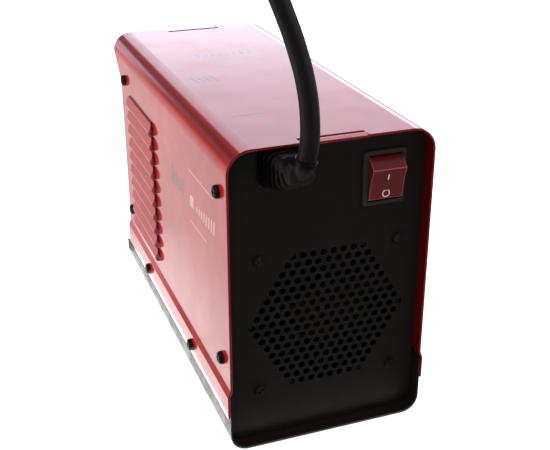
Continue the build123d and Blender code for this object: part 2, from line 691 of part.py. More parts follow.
# ================================================================ mains switch
def switch_housing():
    """The switch's bezel and body, open at the front for the rocker."""
    bezel_y = PANEL_Y + BEZEL_PROUD
    body_back = PANEL_Y - SWITCH_DEPTH
    bezel = prism_y(RectangleRounded(BEZEL_W, BEZEL_H, 1.6), PANEL_Y, bezel_y)
    bezel = chamfer(bezel.faces().sort_by(Axis.Y)[-1].edges(), 0.7)
    body_w = SWITCH_CUT_W - 0.2
    body_h = SWITCH_CUT_H - 0.3
    housing = bezel + block(-body_w / 2, body_w / 2, body_back, PANEL_Y, -body_h / 2, body_h / 2)
    mouth_w = SWITCH_MOUTH_W / 2
    mouth_h = SWITCH_MOUTH_H / 2
    housing -= block(-mouth_w, mouth_w, ROCKER_PIVOT_Y, bezel_y + 1, -mouth_h, mouth_h)
    swing = ROCKER_END_R + 0.3
    housing -= block(-mouth_w, mouth_w, ROCKER_PIVOT_Y - 7, PANEL_Y - 0.5, -swing, swing)
    housing -= rod_x(ROCKER_PIN_R + 0.05, -body_w / 2 - 1, body_w / 2 + 1, ROCKER_PIVOT_Y, 0)
    return Pos(SWITCH_X, 0, SWITCH_Z) * housing


def rocker_outline():
    """The rocker's side view in (y, z) about its pivot, in its middle position."""
    ridge = (ROCKER_RIDGE_OUT, ROCKER_RIDGE_HALF)
    bevel = (ROCKER_BEVEL_OUT, math.sqrt(ROCKER_END_R ** 2 - ROCKER_BEVEL_OUT ** 2))
    halfway = ROCKER_BEVEL_OUT / 2
    end_middle = (halfway, math.sqrt(ROCKER_END_R ** 2 - halfway ** 2))
    tip = (0, ROCKER_END_R)
    back = (-ROCKER_BACK, ROCKER_BACK_HALF)

    def lower(point):
        return (point[0], -point[1])

    outline = ThreePointArc(lower(ridge), (ROCKER_RIDGE_OUT - ROCKER_HOLLOW, 0), ridge)
    outline += Line(ridge, bevel)
    outline += ThreePointArc(bevel, end_middle, tip)
    outline += Polyline(tip, back, lower(back), lower(tip))
    outline += ThreePointArc(lower(tip), lower(end_middle), lower(bevel))
    outline += Line(lower(bevel), lower(ridge))
    return make_face(outline)


def switch_rocker():
    """The rocker with its pivot pins, at rest with its lower end pressed in (off)."""
    rocker = prism_x(rocker_outline(), -ROCKER_W / 2, ROCKER_W / 2)
    tops = rocker.edges().filter_by(Axis.X).sort_by(Axis.Y)[-2:]
    rocker = fillet(tops, 0.5)
    pin_half = SWITCH_CUT_W / 2 - 0.3
    rocker += rod_x(ROCKER_PIN_R, -pin_half, pin_half, 0, 0)
    rocker = Rot(-ROCKER_TILT, 0, 0) * rocker
    return Pos(SWITCH_X, ROCKER_PIVOT_Y, SWITCH_Z) * rocker


def switch_terminals():
    """Four blade terminals at the back of the switch."""
    back = PANEL_Y - SWITCH_DEPTH
    half_t = 0.4
    half_w = 3.1
    blade = block(-half_t, half_t, back - BLADE_LENGTH, back, -half_w, half_w)
    places = [(x, z) for x in (-BLADE_X, BLADE_X) for z in (-BLADE_Z, BLADE_Z)]
    return placed(blade, [Pos(SWITCH_X + x, 0, SWITCH_Z + z) for x, z in places])


# ================================================================ mains cable
def cable_curve():
    """The centre line of the mains cable."""
    return Spline(*CABLE_PATH)


def plane_across(path, share):
    """A plane across a path, at a share of its length, whose y axis points mostly up."""
    along = path % share
    return Plane(origin=path @ share, x_dir=Vector(-along.Y, along.X, 0), z_dir=along)


def share_at_y(path, y):
    """The share of the cable's length at which it passes a given y, on its way out of the case."""
    low, high = 0.0, 0.2
    for _ in range(40):
        middle = (low + high) / 2
        if (path @ middle).Y < y:
            low = middle
        else:
            high = middle
    return low


def ring_outline(half):
    """A boot ring's outline about the cable's middle: flatter below than above."""
    height = 2 * half - 2 * BOOT_RING_LIFT
    return Pos(0, BOOT_RING_LIFT) * RectangleRounded(2 * half, height, half * BOOT_RING_CORNER)


def cable_boot():
    """The ribbed strain relief: a neck through the panel, a stack of rings, a collar and a sleeve."""
    path = cable_curve()
    boot = rod_y(BOOT_NECK_R, PANEL_Y - 9.0, PANEL_Y + 1.0, BOOT_X, BOOT_Z)
    foot = Pos(BOOT_X, BOOT_Z) * ring_outline(BOOT_RING_HALF)
    boot += prism_y(foot, PANEL_Y, PANEL_Y + BOOT_RING_T)
    start = share_at_y(path, PANEL_Y)
    step = BOOT_RING_PITCH / path.length
    for i in range(1, BOOT_RINGS):
        across = plane_across(path, start + (i + 0.15) * step)
        boot += extrude(across * ring_outline(BOOT_RING_HALF - i * BOOT_RING_STEP), BOOT_RING_T)
    collar = RectangleRounded(BOOT_COLLAR_W, BOOT_COLLAR_H, BOOT_COLLAR_R)
    collar = Pos(BOOT_COLLAR_X, BOOT_COLLAR_Z) * collar
    boot += prism_y(collar, PANEL_Y + BOOT_COLLAR_IN, PANEL_Y + BOOT_COLLAR_OUT)
    inner = path.trim(share_at_y(path, PANEL_Y - 6.0), start + BOOT_SLEEVE_LENGTH / path.length)
    boot += sweep(plane_across(inner, 0) * Circle(BOOT_CORE_R), inner)
    return boot - tube_along(CABLE_PATH, CABLE_R + 0.05)


def boot_locknut():
    """The nut that holds the boot's neck inside the panel."""
    nut = hex_nut(25.0, 4.0, BOOT_NECK_R)
    return Pos(BOOT_X, PANEL_IN - 0.05, BOOT_Z) * Rot(90, 0, 0) * nut


def mains_cable():
    """The cable's rubber jacket."""
    return tube_along(CABLE_PATH, CABLE_R)


def core_places():
    """Where the three cores sit in the cable's section."""
    return [(2.2 * math.cos(a), 2.2 * math.sin(a)) for a in (0.5, 0.5 + 2.094, 0.5 + 4.189)]


def cable_cores():
    """The three insulated cores where they leave the jacket at its outer end."""
    end = plane_across(cable_curve(), 1.0)
    cores = []
    for x, y in core_places():
        cores.append(end * Pos(x, y, TAIL_CORE_LENGTH / 2) * Cylinder(CORE_R, TAIL_CORE_LENGTH))
    return Compound(children=cores)


def core_ferrules():
    """Crimped ferrules on the three cores' ends."""
    end = plane_across(cable_curve(), 1.0)
    middle = TAIL_CORE_LENGTH + FERRULE_LENGTH / 2
    return Compound(children=[
        end * Pos(x, y, middle) * Cylinder(CORE_R * 0.65, FERRULE_LENGTH) for x, y in core_places()
    ])


# ================================================================ front controls
def control_openings(gap):
    """The openings for the window, the lamps and the potentiometer, in (x, z)."""
    half = WINDOW_W / 2 + gap
    openings = Sketch() + rounded_slot(
        -half, half, WINDOW_Z - WINDOW_H / 2 - gap, WINDOW_Z + WINDOW_H / 2 + gap, 2.0
    )
    openings += [Pos(LAMP_X, z) * Circle(LAMP_R + gap) for z in LAMP_Z]
    openings += Pos(0, KNOB_Z) * Circle(POT_BUSH_R + gap)
    return openings


def control_fascia():
    """The moulded plate around the controls."""
    plate = rounded_slot(-FASCIA_HALF, FASCIA_HALF, FASCIA_LOW_Z, FASCIA_TOP_Z, 8.0)
    fascia = prism_y(plate, FASCIA_Y, FRONT_Y)
    fascia = chamfer(fascia.faces().sort_by(Axis.Y)[0].edges(), 1.0)
    dish = Pos(0, KNOB_Z) * (Circle(KNOB_R + 5.0) - Circle(KNOB_R + 3.5))
    fascia -= prism_y(dish, FASCIA_Y - 1, FASCIA_Y + 0.8)
    return fascia - prism_y(control_openings(0.1), FASCIA_Y - 1, FRONT_Y + 1)


def current_knob():
    """The current control knob, with a pointer ridge that shows its setting."""
    back = FASCIA_Y - KNOB_GAP
    front = back - KNOB_LENGTH
    skirt = rod_y(KNOB_R, back - 4.0, back, 0, 0)
    grip = loft([
        Plane(origin=(0, back - 4.0, 0), x_dir=(1, 0, 0), z_dir=(0, -1, 0)) * Circle(KNOB_R - 1.6),
        Plane(origin=(0, front, 0), x_dir=(1, 0, 0), z_dir=(0, -1, 0)) * Circle(KNOB_R - 3.0),
    ])
    grip = fillet(grip.edges().group_by(Axis.Y)[0], 1.0)
    knob = skirt + grip
    for i in range(18):
        angle = math.radians(i * 20 + 10)
        groove_r = KNOB_R - 1.5
        knob -= rod_y(0.7, front - 1, back - 4.5, groove_r * math.sin(angle), groove_r * math.cos(angle))
    knob += block(-0.8, 0.8, front - 0.6, back - 4.0, 2.0, KNOB_R - 1.0)
    knob -= rod_y(7.5, back - 3.5, back + 1, 0, 0)
    knob -= rod_y(POT_SHAFT_R, back - 12.0, back + 1, 0, 0)
    return Pos(0, 0, KNOB_Z) * knob


def pot_shaft():
    """The potentiometer's shaft, which the knob is pressed on."""
    return rod_y(POT_SHAFT_R, FASCIA_Y - KNOB_GAP - 12.0, FRONT_IN + 3.0, 0, KNOB_Z)


def pot_body():
    """The potentiometer's can and its threaded bush."""
    back = FRONT_BOARD_Y
    can = rod_y(8.0, FRONT_IN + 0.5, back, 0, KNOB_Z)
    bush = rod_y(POT_BUSH_R, FASCIA_Y - 2.6, FRONT_IN + 1.0, 0, KNOB_Z)
    return can + bush - rod_y(POT_SHAFT_R + 0.05, FASCIA_Y - 4, FRONT_IN + 3.1, 0, KNOB_Z)


def pot_nut():
    """The nut that holds the potentiometer to the fascia, hidden in the knob's skirt."""
    nut = hex_nut(POT_NUT_AF, 2.2, POT_BUSH_R)
    return Pos(0, FASCIA_Y, KNOB_Z) * Rot(90, 0, 0) * nut


def display_window():
    """The clear window over the display."""
    half_w = WINDOW_W / 2 - 0.1
    half_h = WINDOW_H / 2 - 0.1
    pane = rounded_slot(-half_w, half_w, WINDOW_Z - half_h, WINDOW_Z + half_h, 1.9)
    return prism_y(pane, FASCIA_Y + 0.4, FASCIA_Y + 2.4)


def display_module():
    """The three-digit display block between the window and the front board."""
    return block(-19.0, 19.0, FRONT_Y - 0.4, FRONT_BOARD_Y, WINDOW_Z - 7.0, WINDOW_Z + 7.0)


def indicator_lamps():
    """Three indicator lamps beside the knob."""
    lamps = []
    for z in LAMP_Z:
        lamp = rod_y(LAMP_R, FASCIA_Y - 1.2, FRONT_BOARD_Y, LAMP_X, z)
        lamps.append(fillet(lamp.edges().group_by(Axis.Y)[0], 1.1))
    return Compound(children=lamps)


def front_board():
    """The small board that carries the display, the lamps and the potentiometer."""
    board = block(-44.0, 44.0, FRONT_BOARD_Y, FRONT_BOARD_Y + BOARD_T, 100.0, 168.0)
    for x, z in front_board_corners():
        board -= rod_y(M3_R + 0.1, FRONT_BOARD_Y - 1, FRONT_BOARD_Y + 3, x, z)
    return board


def front_board_corners():
    """The front board's four fixing centres, in (x, z)."""
    return [(x, z) for x in (-40.0, 40.0) for z in (104.0, 164.0)]


def front_board_spacers():
    """Four spacers between the front panel and its board."""
    nuts = []
    for x, z in front_board_corners():
        spacer = rod_y(3.0, FRONT_IN, FRONT_BOARD_Y, x, z)
        nuts.append(spacer - rod_y(M3_R, FRONT_BOARD_Y - 7, FRONT_BOARD_Y + 1, x, z))
    return Compound(children=nuts)


def front_board_screws():
    """Four screws that hold the front board to its spacers."""
    screw = pan_screw(7.0, M3_R, 2.8, 1.8)
    back = FRONT_BOARD_Y + BOARD_T
    return placed(screw, [Pos(x, back, z) * Rot(-90, 0, 0) for x, z in front_board_corners()])


# ================================================================ output sockets
def for_both_sockets(shape):
    """A shape made about the socket axis, placed at both sockets."""
    return placed(shape, [Pos(-SOCKET_X, 0, SOCKET_Z), Pos(SOCKET_X, 0, SOCKET_Z)])


def output_socket_bodies():
    """The two insulating socket bodies: a flange, a collar and a neck through the panel."""
    flange = rod_y(SOCKET_FLANGE_R, FRONT_Y - 5.0, FRONT_Y, 0, 0)
    flange = fillet(flange.edges().group_by(Axis.Y)[0], 1.5)
    collar = rod_y(SOCKET_COLLAR_R, SOCKET_FRONT_Y, FRONT_Y - 4.0, 0, 0)
    collar = fillet(collar.edges().group_by(Axis.Y)[0], 1.5)
    neck = rod_y(SOCKET_NECK_R, FRONT_Y - 1.0, SOCKET_REAR_Y - 3.0, 0, 0)
    body = flange + collar + neck
    return for_both_sockets(body - rod_y(SOCKET_CONTACT_R, SOCKET_FRONT_Y - 1, SOCKET_REAR_Y + 1, 0, 0))


def output_socket_contacts():
    """The two brass contacts: a plug bore with a keyway, and a threaded rear end."""
    front = SOCKET_FRONT_Y + 2.0
    bore_end = front + SOCKET_BORE_DEPTH
    contact = rod_y(SOCKET_CONTACT_R, front, SOCKET_REAR_Y, 0, 0)
    contact -= rod_y(SOCKET_BORE_R, front - 1, bore_end, 0, 0)
    key_half = SOCKET_KEY_W / 2
    contact -= block(-key_half, key_half, front - 1, bore_end, 0, SOCKET_BORE_R + SOCKET_KEY_H)
    contact -= rod_y(SOCKET_BOLT_R, bore_end + 1.5, SOCKET_REAR_Y + 1, 0, 0)
    return for_both_sockets(contact)


def output_socket_nuts():
    """The two large nuts that hold the sockets in the front panel."""
    nut = hex_nut(31.0, 6.0, SOCKET_NECK_R)
    return for_both_sockets(Pos(0, FRONT_IN, 0) * Rot(-90, 0, 0) * nut)


def output_socket_bolts():
    """The two bolts that clamp the busbars to the sockets."""
    bolt = extrude(hexagon(13.0), 5.0) + Pos(0, 0, -3.5) * Cylinder(SOCKET_BOLT_R, 7.0)
    head_y = SOCKET_REAR_Y + BUSBAR_T
    return for_both_sockets(Pos(0, head_y, 0) * Rot(-90, 0, 0) * bolt)


def busbar(x, foot_y):
    """A copper strip from a socket down to the main board."""
    half = 7.5
    face = SOCKET_REAR_Y
    strap = block(x - half, x + half, face, face + BUSBAR_T, BOARD_TOP + 4.0, SOCKET_Z + 9.0)
    strap += block(x - half, x + half, face, foot_y, BOARD_TOP + 4.0, BOARD_TOP + 4.0 + BUSBAR_T)
    strap += block(x - half, x + half, foot_y - BUSBAR_T, foot_y, BOARD_TOP, BOARD_TOP + 4.0 + BUSBAR_T)
    return strap - rod_y(SOCKET_BOLT_R + 0.1, face - 1, face + 3, x, SOCKET_Z)


# ================================================================ power board
def main_board():
    """The power board, on standoffs over the tray."""
    board = block(-BOARD_HALF_W, BOARD_HALF_W, BOARD_FRONT_Y, BOARD_REAR_Y, BOARD_Z, BOARD_TOP)
    for x, y in STANDOFF_PLACES:
        board -= rod_z(M3_R + 0.1, BOARD_Z - 1, BOARD_TOP + 1, x, y)
    return board


def board_standoffs():
    """Six hexagonal standoffs under the power board."""
    standoff = hex_nut(6.0, BOARD_Z - SHEET, M3_R)
    return placed(standoff, [Pos(x, y, SHEET) for x, y in STANDOFF_PLACES])


def board_screws():
    """Six screws that hold the power board to its standoffs."""
    screw = pan_screw(8.0, M3_R, 2.8, 1.8)
    return placed(screw, [Pos(x, y, BOARD_TOP) for x, y in STANDOFF_PLACES])


def insulating_sheet():
    """A thin insulating sheet between the tray and the power board."""
    sheet = block(-46.0, 46.0, BOARD_FRONT_Y, BOARD_REAR_Y, SHEET, SHEET + 0.5)
    for x, y in STANDOFF_PLACES:
        sheet -= rod_z(4.0, 0, 3, x, y)
    return sheet


def heat_sink(sign):
    """A finned aluminium extrusion: a base plate towards the middle and fins outwards."""
    inner = sign * SINK_INNER_X
    base = sign * (SINK_INNER_X + SINK_BASE_T)
    outer = sign * SINK_OUTER_X
    sink = block(inner, base, SINK_FRONT_Y, SINK_REAR_Y, SINK_LOW_Z, SINK_TOP_Z)
    pitch = (SINK_TOP_Z - SINK_LOW_Z - SINK_FIN_T) / (SINK_FINS - 1)
    for i in range(SINK_FINS):
        z = SINK_LOW_Z + i * pitch
        sink += block(base - sign, outer, SINK_FRONT_Y, SINK_REAR_Y, z, z + SINK_FIN_T)
    foot_x = sign * (SINK_INNER_X + 8.0)
    for y in (SINK_FRONT_Y + 8.0, SINK_REAR_Y - 8.0):
        sink += rod_z(3.0, BOARD_TOP, SINK_LOW_Z + 1, foot_x, y)
    return sink


def power_devices(sign):
    """Packages clamped to a heat sink's base plate, with their legs in the board."""
    face = sign * SINK_INNER_X
    front = face - sign * 5.0
    devices = []
    for y in DEVICE_PLACES:
        package = block(front, face, y - 7.8, y + 7.8, 34.0, 54.0)
        leg_x = face - sign * 2.5
        for offset in (-5.4, 0.0, 5.4):
            package += block(leg_x - 0.6, leg_x + 0.6, y + offset - 0.6, y + offset + 0.6, BOARD_TOP, 35.0)
        devices.append(package)
    return Compound(children=devices)


def bridge_rectifier():
    """The input bridge, clamped above the transistors on the same heat sink."""
    face = SINK_INNER_X
    return block(face - 9.0, face, 6.0, 34.0, 62.0, 90.0)


def transformer_core():
    """The ferrite core of the output transformer: two E halves around a middle leg."""
    x, y = TRANSFORMER_X, MAGNETICS_Y
    core = block(x - 24, x + 24, y - 12, y + 12, BOARD_TOP + 3, BOARD_TOP + 55)
    for sign in (-1, 1):
        core -= block(
            x + sign * 9, x + sign * 16, y - 13, y + 13, BOARD_TOP + 12, BOARD_TOP + 46
        )
    return core


def winding_around(x, y, leg_x, leg_y, z0, z1, thick):
    """A rounded coil around a rectangular leg, with a small gap."""
    gap = 0.3
    inner = RectangleRounded(2 * (leg_x + gap), 2 * (leg_y + gap), 1.0)
    outer = RectangleRounded(2 * (leg_x + gap + thick), 2 * (leg_y + gap + thick), 4.0)
    return Pos(x, y, 0) * prism_z(outer - inner, z0, z1)


def transformer_winding():
    """The copper winding around the transformer's middle leg."""
    return winding_around(
        TRANSFORMER_X, MAGNETICS_Y, 9.0, 12.0, BOARD_TOP + 12.5, BOARD_TOP + 45.5, 6.0
    )


def choke_core():
    """The output choke's core."""
    x, y = CHOKE_X, MAGNETICS_Y
    core = block(x - 20, x + 20, y - 10, y + 10, BOARD_TOP + 3, BOARD_TOP + 45)
    for sign in (-1, 1):
        core -= block(x + sign * 7, x + sign * 13.5, y - 11, y + 11, BOARD_TOP + 10, BOARD_TOP + 38)
    return core


def choke_winding():
    """The output choke's winding of flat copper."""
    return winding_around(CHOKE_X, MAGNETICS_Y, 7.0, 10.0, BOARD_TOP + 10.5, BOARD_TOP + 37.5, 5.5)


def bulk_capacitors():
    """Three upright electrolytic capacitors behind the fan."""
    cans = []
    for x in (-28.0, 0.0, 28.0):
        can = rod_z(12.5, BOARD_TOP, BOARD_TOP + 36.0, x, 72.0)
        cans.append(fillet(can.edges().group_by(Axis.Z)[-1], 1.2))
    return Compound(children=cans)


def inrush_relay():
    """The relay that bridges the inrush resistor once the capacitors are charged."""
    return block(-8.0, 8.0, -26.0, -2.0, BOARD_TOP, BOARD_TOP + 15.0)


def control_board():
    """The upright control board in front of the magnetics, with its chips."""
    back = CONTROL_BOARD_Y + BOARD_T
    board = block(-40.0, 40.0, CONTROL_BOARD_Y, back, BOARD_TOP, BOARD_TOP + CONTROL_BOARD_HEIGHT)
    chip_half, chip_t = 5.5, 1.4
    for x, z in ((-22.0, 50.0), (8.0, 44.0), (24.0, 62.0)):
        board += block(x - chip_half, x + chip_half, back, back + chip_t, z - chip_half, z + chip_half)
    return board


def earth_stud():
    """The chassis earth stud, welded to the rear panel's inner face."""
    return rod_y(EARTH_STUD_R, PANEL_IN - EARTH_STUD_LENGTH, PANEL_IN, EARTH_X, EARTH_Z)


def earth_nuts():
    """Two nuts on the earth stud."""
    nut = hex_nut(8.0, 4.0, EARTH_STUD_R)
    depths = (3.0, 8.0)
    return placed(nut, [Pos(EARTH_X, PANEL_IN - depth, EARTH_Z) * Rot(90, 0, 0) for depth in depths])


def internal_wiring():
    """Leads from the cable to the switch and the earth stud, and from the switch to the board."""
    cable_x, cable_y, cable_z = CABLE_PATH[0]
    cable_y -= 1.0
    blade_y = PANEL_Y - SWITCH_DEPTH - BLADE_LENGTH - 1.5
    leads = []
    for i, dx in enumerate((-BLADE_X, BLADE_X)):
        x = SWITCH_X + dx
        upper_z = SWITCH_Z + BLADE_Z
        loop_y = 77.0 - 6.0 * i
        start = (cable_x - 2.5 + 4.0 * i, cable_y, cable_z)
        leads.append([
            start, (start[0] - 12, loop_y + 1, 167.0), (x + 6, loop_y - 1, 164.0), (x, blade_y, upper_z),
        ])
        lower_z = SWITCH_Z - BLADE_Z
        drop_y = 80.0 - 5.0 * i
        foot = (-47.5 + 5.0 * i, 62.0, BOARD_TOP + 1)
        leads.append([
            (x, blade_y, lower_z), (x - 1, drop_y, lower_z - 8), (x - 2, drop_y - 6, 126.0),
            (foot[0] + 3.5 + i, 66.0, 100.0), (foot[0] + 0.5, foot[1], 60.0 - 4.0 * i), foot,
        ])
    leads.append([
        (cable_x + 0.5, cable_y, cable_z - 3.4), (20.0, 84.0, 152.0), (4.0, 92.0, 142.0),
        (EARTH_X, PANEL_IN - EARTH_STUD_LENGTH - 3.0, EARTH_Z),
    ])
    return Compound(children=[tube_along(lead, CORE_R) for lead in leads])


# ================================================================ writing
def all_parts():
    """Every sub-part by its node name."""
    return {
        "cover_shell": cover_shell(),
        "chassis_tray": chassis_tray(),
        "rear_panel": rear_panel(),
        "front_panel": front_panel(),
        "cover_side_screws": cover_side_screws(),
        "cover_base_screws": cover_base_screws(),
        "panel_base_screws": panel_base_screws(),
        "fan_screws": fan_screws(),
        "fan_nuts": fan_nuts(),
        "fan_frame": fan_frame(),
        "fan_bearings": fan_bearings(),
        "fan_stator": fan_stator(),
        "fan_rotor": fan_rotor(),
        "fan_magnet_ring": fan_magnet_ring(),
        "fan_shaft": fan_shaft(),
        "switch_housing": switch_housing(),
        "switch_rocker": switch_rocker(),
        "switch_terminals": switch_terminals(),
        "cable_boot": cable_boot(),
        "boot_locknut": boot_locknut(),
        "mains_cable": mains_cable(),
        "cable_cores": cable_cores(),
        "core_ferrules": core_ferrules(),
        "control_fascia": control_fascia(),
        "current_knob": current_knob(),
        "pot_shaft": pot_shaft(),
        "pot_body": pot_body(),
        "pot_nut": pot_nut(),
        "display_window": display_window(),
        "display_module": display_module(),
        "indicator_lamps": indicator_lamps(),
        "front_board": front_board(),
        "front_board_spacers": front_board_spacers(),
        "front_board_screws": front_board_screws(),
        "output_socket_bodies": output_socket_bodies(),
        "output_socket_contacts": output_socket_contacts(),
        "output_socket_nuts": output_socket_nuts(),
        "output_socket_bolts": output_socket_bolts(),
        "positive_busbar": busbar(SOCKET_X, -80.0),
        "negative_busbar": busbar(-SOCKET_X, -80.0),
        "main_board": main_board(),
        "board_standoffs": board_standoffs(),
        "board_screws": board_screws(),
        "insulating_sheet": insulating_sheet(),
        "transistor_heat_sink": heat_sink(1),
        "rectifier_heat_sink": heat_sink(-1),
        "transistors": power_devices(1),
        "rectifier_diodes": power_devices(-1),
        "bridge_rectifier": bridge_rectifier(),
        "transformer_core": transformer_core(),
        "transformer_winding": transformer_winding(),
        "choke_core": choke_core(),
        "choke_winding": choke_winding(),
        "bulk_capacitors": bulk_capacitors(),
        "inrush_relay": inrush_relay(),
        "control_board": control_board(),
        "earth_stud": earth_stud(),
        "earth_nuts": earth_nuts(),
        "internal_wiring": internal_wiring(),
    }


os.makedirs("parts", exist_ok=True)
for node, shape in all_parts().items():
    export_step(shape, f"parts/{node}.step")
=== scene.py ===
import bmesh
import bpy
import json
import math
from mathutils import Matrix, Vector, noise
from mathutils.bvhtree import BVHTree


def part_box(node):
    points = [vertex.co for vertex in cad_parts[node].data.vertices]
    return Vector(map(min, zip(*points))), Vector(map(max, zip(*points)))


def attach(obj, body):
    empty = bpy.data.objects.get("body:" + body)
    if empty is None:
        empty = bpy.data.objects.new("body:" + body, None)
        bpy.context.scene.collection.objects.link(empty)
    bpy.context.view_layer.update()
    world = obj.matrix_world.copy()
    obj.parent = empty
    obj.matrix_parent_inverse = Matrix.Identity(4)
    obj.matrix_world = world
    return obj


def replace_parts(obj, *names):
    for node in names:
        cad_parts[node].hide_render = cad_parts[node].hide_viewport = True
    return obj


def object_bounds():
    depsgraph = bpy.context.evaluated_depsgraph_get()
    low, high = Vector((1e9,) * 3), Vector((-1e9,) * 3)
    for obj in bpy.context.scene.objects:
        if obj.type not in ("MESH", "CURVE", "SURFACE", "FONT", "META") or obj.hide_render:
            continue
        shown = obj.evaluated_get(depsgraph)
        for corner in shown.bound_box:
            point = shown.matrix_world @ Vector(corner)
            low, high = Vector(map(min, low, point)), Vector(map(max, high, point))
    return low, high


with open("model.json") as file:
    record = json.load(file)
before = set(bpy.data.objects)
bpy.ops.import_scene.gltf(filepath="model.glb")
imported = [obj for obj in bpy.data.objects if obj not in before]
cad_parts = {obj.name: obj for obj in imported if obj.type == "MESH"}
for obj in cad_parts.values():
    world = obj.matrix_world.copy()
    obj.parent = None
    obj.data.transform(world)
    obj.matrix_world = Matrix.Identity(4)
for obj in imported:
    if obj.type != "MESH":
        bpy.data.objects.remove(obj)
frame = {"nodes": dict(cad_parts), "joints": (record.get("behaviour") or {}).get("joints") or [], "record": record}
cad_low, cad_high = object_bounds()
nodes = frame["nodes"]
MM = 0.001
SIDE_HALF = 0.059              # half the case's width over its flat sides
BOW_START = 0.155              # above this height the flat sides bow inwards, into the top bends
BOW_RATE = 1.0                 # per metre: the bow's slope is twice this times the height above
COLLAR_REACH = 0.018           # the strain relief's collar is this last stretch of it
COLLAR_SHADE_HEIGHT = 0.1745            # above this height the collar is darkened as painted shade
ROCKER_TILT = 13.0             # the rocker's lean at rest, in degrees
COILS = ("transformer_winding", "choke_winding", "fan_stator")
AHEAD = Vector((0, -1, 0))     # the way the front faces, and the right hand of someone who reads it
FRONT_RIGHT = Vector((1, 0, 0))
cad_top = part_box("cover_shell")[1].z


# ================================================================ node graphs
class Graph:
    """Builds one material: a Principled surface with helpers for its textures."""

    def __init__(self, name):
        self.material = bpy.data.materials.new(name)
        self.material.use_nodes = True
        self.tree = self.material.node_tree
        self.tree.nodes.clear()
        self.surface = self.add("ShaderNodeBsdfPrincipled")
        self.output = self.add("ShaderNodeOutputMaterial")
        self.tree.links.new(self.surface.outputs["BSDF"], self.output.inputs["Surface"])
        self.place = self.add("ShaderNodeTexCoord").outputs["Object"]

    def add(self, kind, values=None, **settings):
        """Adds a node: values go to its inputs, settings to the node itself."""
        node = self.tree.nodes.new(kind)
        for key, value in settings.items():
            setattr(node, key, value)
        for key, value in (values or {}).items():
            self.put(node.inputs[key], value)
        return node

    def put(self, socket, value):
        """Links an output to a socket, or sets the socket's value."""
        if isinstance(value, bpy.types.NodeSocket):
            self.tree.links.new(value, socket)
        elif isinstance(value, tuple) and len(value) == 3 and socket.type == "RGBA":
            socket.default_value = (*value, 1.0)
        else:
            socket.default_value = value

    def set(self, **values):
        """Sets the surface's inputs; an underscore in a name stands for a space."""
        for key, value in values.items():
            self.put(self.surface.inputs[key.replace("_", " ")], value)

    def noise(self, size_mm, detail=4.0, roughness=0.5, stretch=(1, 1, 1)):
        """A noise value whose features are about size_mm across."""
        place = self.place
        if stretch != (1, 1, 1):
            place = self.add("ShaderNodeMapping", {"Vector": place, "Scale": stretch}).outputs[0]
        values = {"Vector": place, "Scale": 1000.0 / size_mm, "Detail": detail, "Roughness": roughness}
        return self.add("ShaderNodeTexNoise", values).outputs["Fac"]

    def remap(self, value, low, high, from_low=0.3, from_high=0.7):
        """Stretches a range to low..high; a noise value lies mostly between 0.3 and 0.7."""
        values = {"Value": value, "From Min": from_low, "From Max": from_high, "To Min": low, "To Max": high}
        return self.add("ShaderNodeMapRange", values).outputs["Result"]

    def mix(self, share, first, second):
        """A colour between two others: the second one where share is 1."""
        node = self.add("ShaderNodeMix", data_type="RGBA", blend_type="MIX")
        self.put(node.inputs[0], share)
        self.put(node.inputs[6], first)
        self.put(node.inputs[7], second)
        return node.outputs[2]

    def math(self, operation, first, second=0.0):
        node = self.add("ShaderNodeMath", operation=operation)
        self.put(node.inputs[0], first)
        self.put(node.inputs[1], second)
        return node.outputs[0]

    def axis(self, name):
        """One coordinate of the place, in metres."""
        return self.parts(self.place)[name]

    def parts(self, value):
        """The X, Y and Z of a vector."""
        return self.add("ShaderNodeSeparateXYZ", {"Vector": value}).outputs

    def bump(self, height, strength, depth_mm, under=None):
        """A normal tilted by a height, on top of another normal where one is given."""
        values = {"Height": height, "Strength": strength, "Distance": depth_mm * MM}
        if under is not None:
            values["Normal"] = under
        return self.add("ShaderNodeBump", values).outputs["Normal"]

    def edges(self, radius_mm, low=0.02, high=0.25):
        """A mask that is 1 on sharp edges and 0 on flats."""
        soft = self.add("ShaderNodeBevel", {"Radius": radius_mm * MM}, samples=4).outputs[0]
        hard = self.add("ShaderNodeNewGeometry").outputs["Normal"]
        dot = self.add("ShaderNodeVectorMath", operation="DOT_PRODUCT")
        self.put(dot.inputs[0], soft)
        self.put(dot.inputs[1], hard)
        return self.remap(self.math("SUBTRACT", 1.0, dot.outputs["Value"]), 0.0, 1.0, low, high)


# ================================================================ materials
def shade(colour, factor):
    """A colour made lighter or darker."""
    return tuple(channel * factor for channel in colour)


def moulded(name, colour, roughness=0.5, grain_mm=0.5, grain=0.12, spread=0.15, edge_wear_and_glint=None):
    """Plastic, rubber or coated metal: mottled colour, fine grain, and lighter edges where asked, which show wear
    and a painted glint.
    """
    g = Graph(name)
    tint = g.mix(g.noise(9.0), shade(colour, 1 - spread), shade(colour, 1 + spread))
    fine = g.noise(grain_mm, detail=6.0)
    if edge_wear_and_glint is not None:
        # painted glint: the lighter edges stand for wear and for a glint of light
        worn = g.math("MULTIPLY", g.edges(0.5), g.remap(g.noise(3.0), 0.0, 0.8))
        tint = g.mix(worn, tint, edge_wear_and_glint)
    g.set(Base_Color=tint, Roughness=g.remap(g.noise(4.0), roughness * 0.88, roughness * 1.12))
    g.set(Normal=g.bump(fine, grain, grain_mm * 0.2))
    return g


def metal(name, colour, roughness=0.3, brushed=(1, 1, 1)):
    """Bare metal with fine tool marks along one way, and duller patches."""
    g = Graph(name)
    lines = g.noise(0.9, detail=5.0, stretch=brushed)
    tint = g.mix(g.noise(6.0), shade(colour, 0.92), shade(colour, 1.08))
    dull = g.remap(g.noise(14.0), 0.0, 0.35)
    g.set(Base_Color=g.mix(dull, tint, shade(colour, 0.55)), Metallic=1.0)
    g.set(Roughness=g.remap(lines, roughness * 0.75, roughness * 1.25))
    g.set(Normal=g.bump(lines, 0.1, 0.05))
    return g


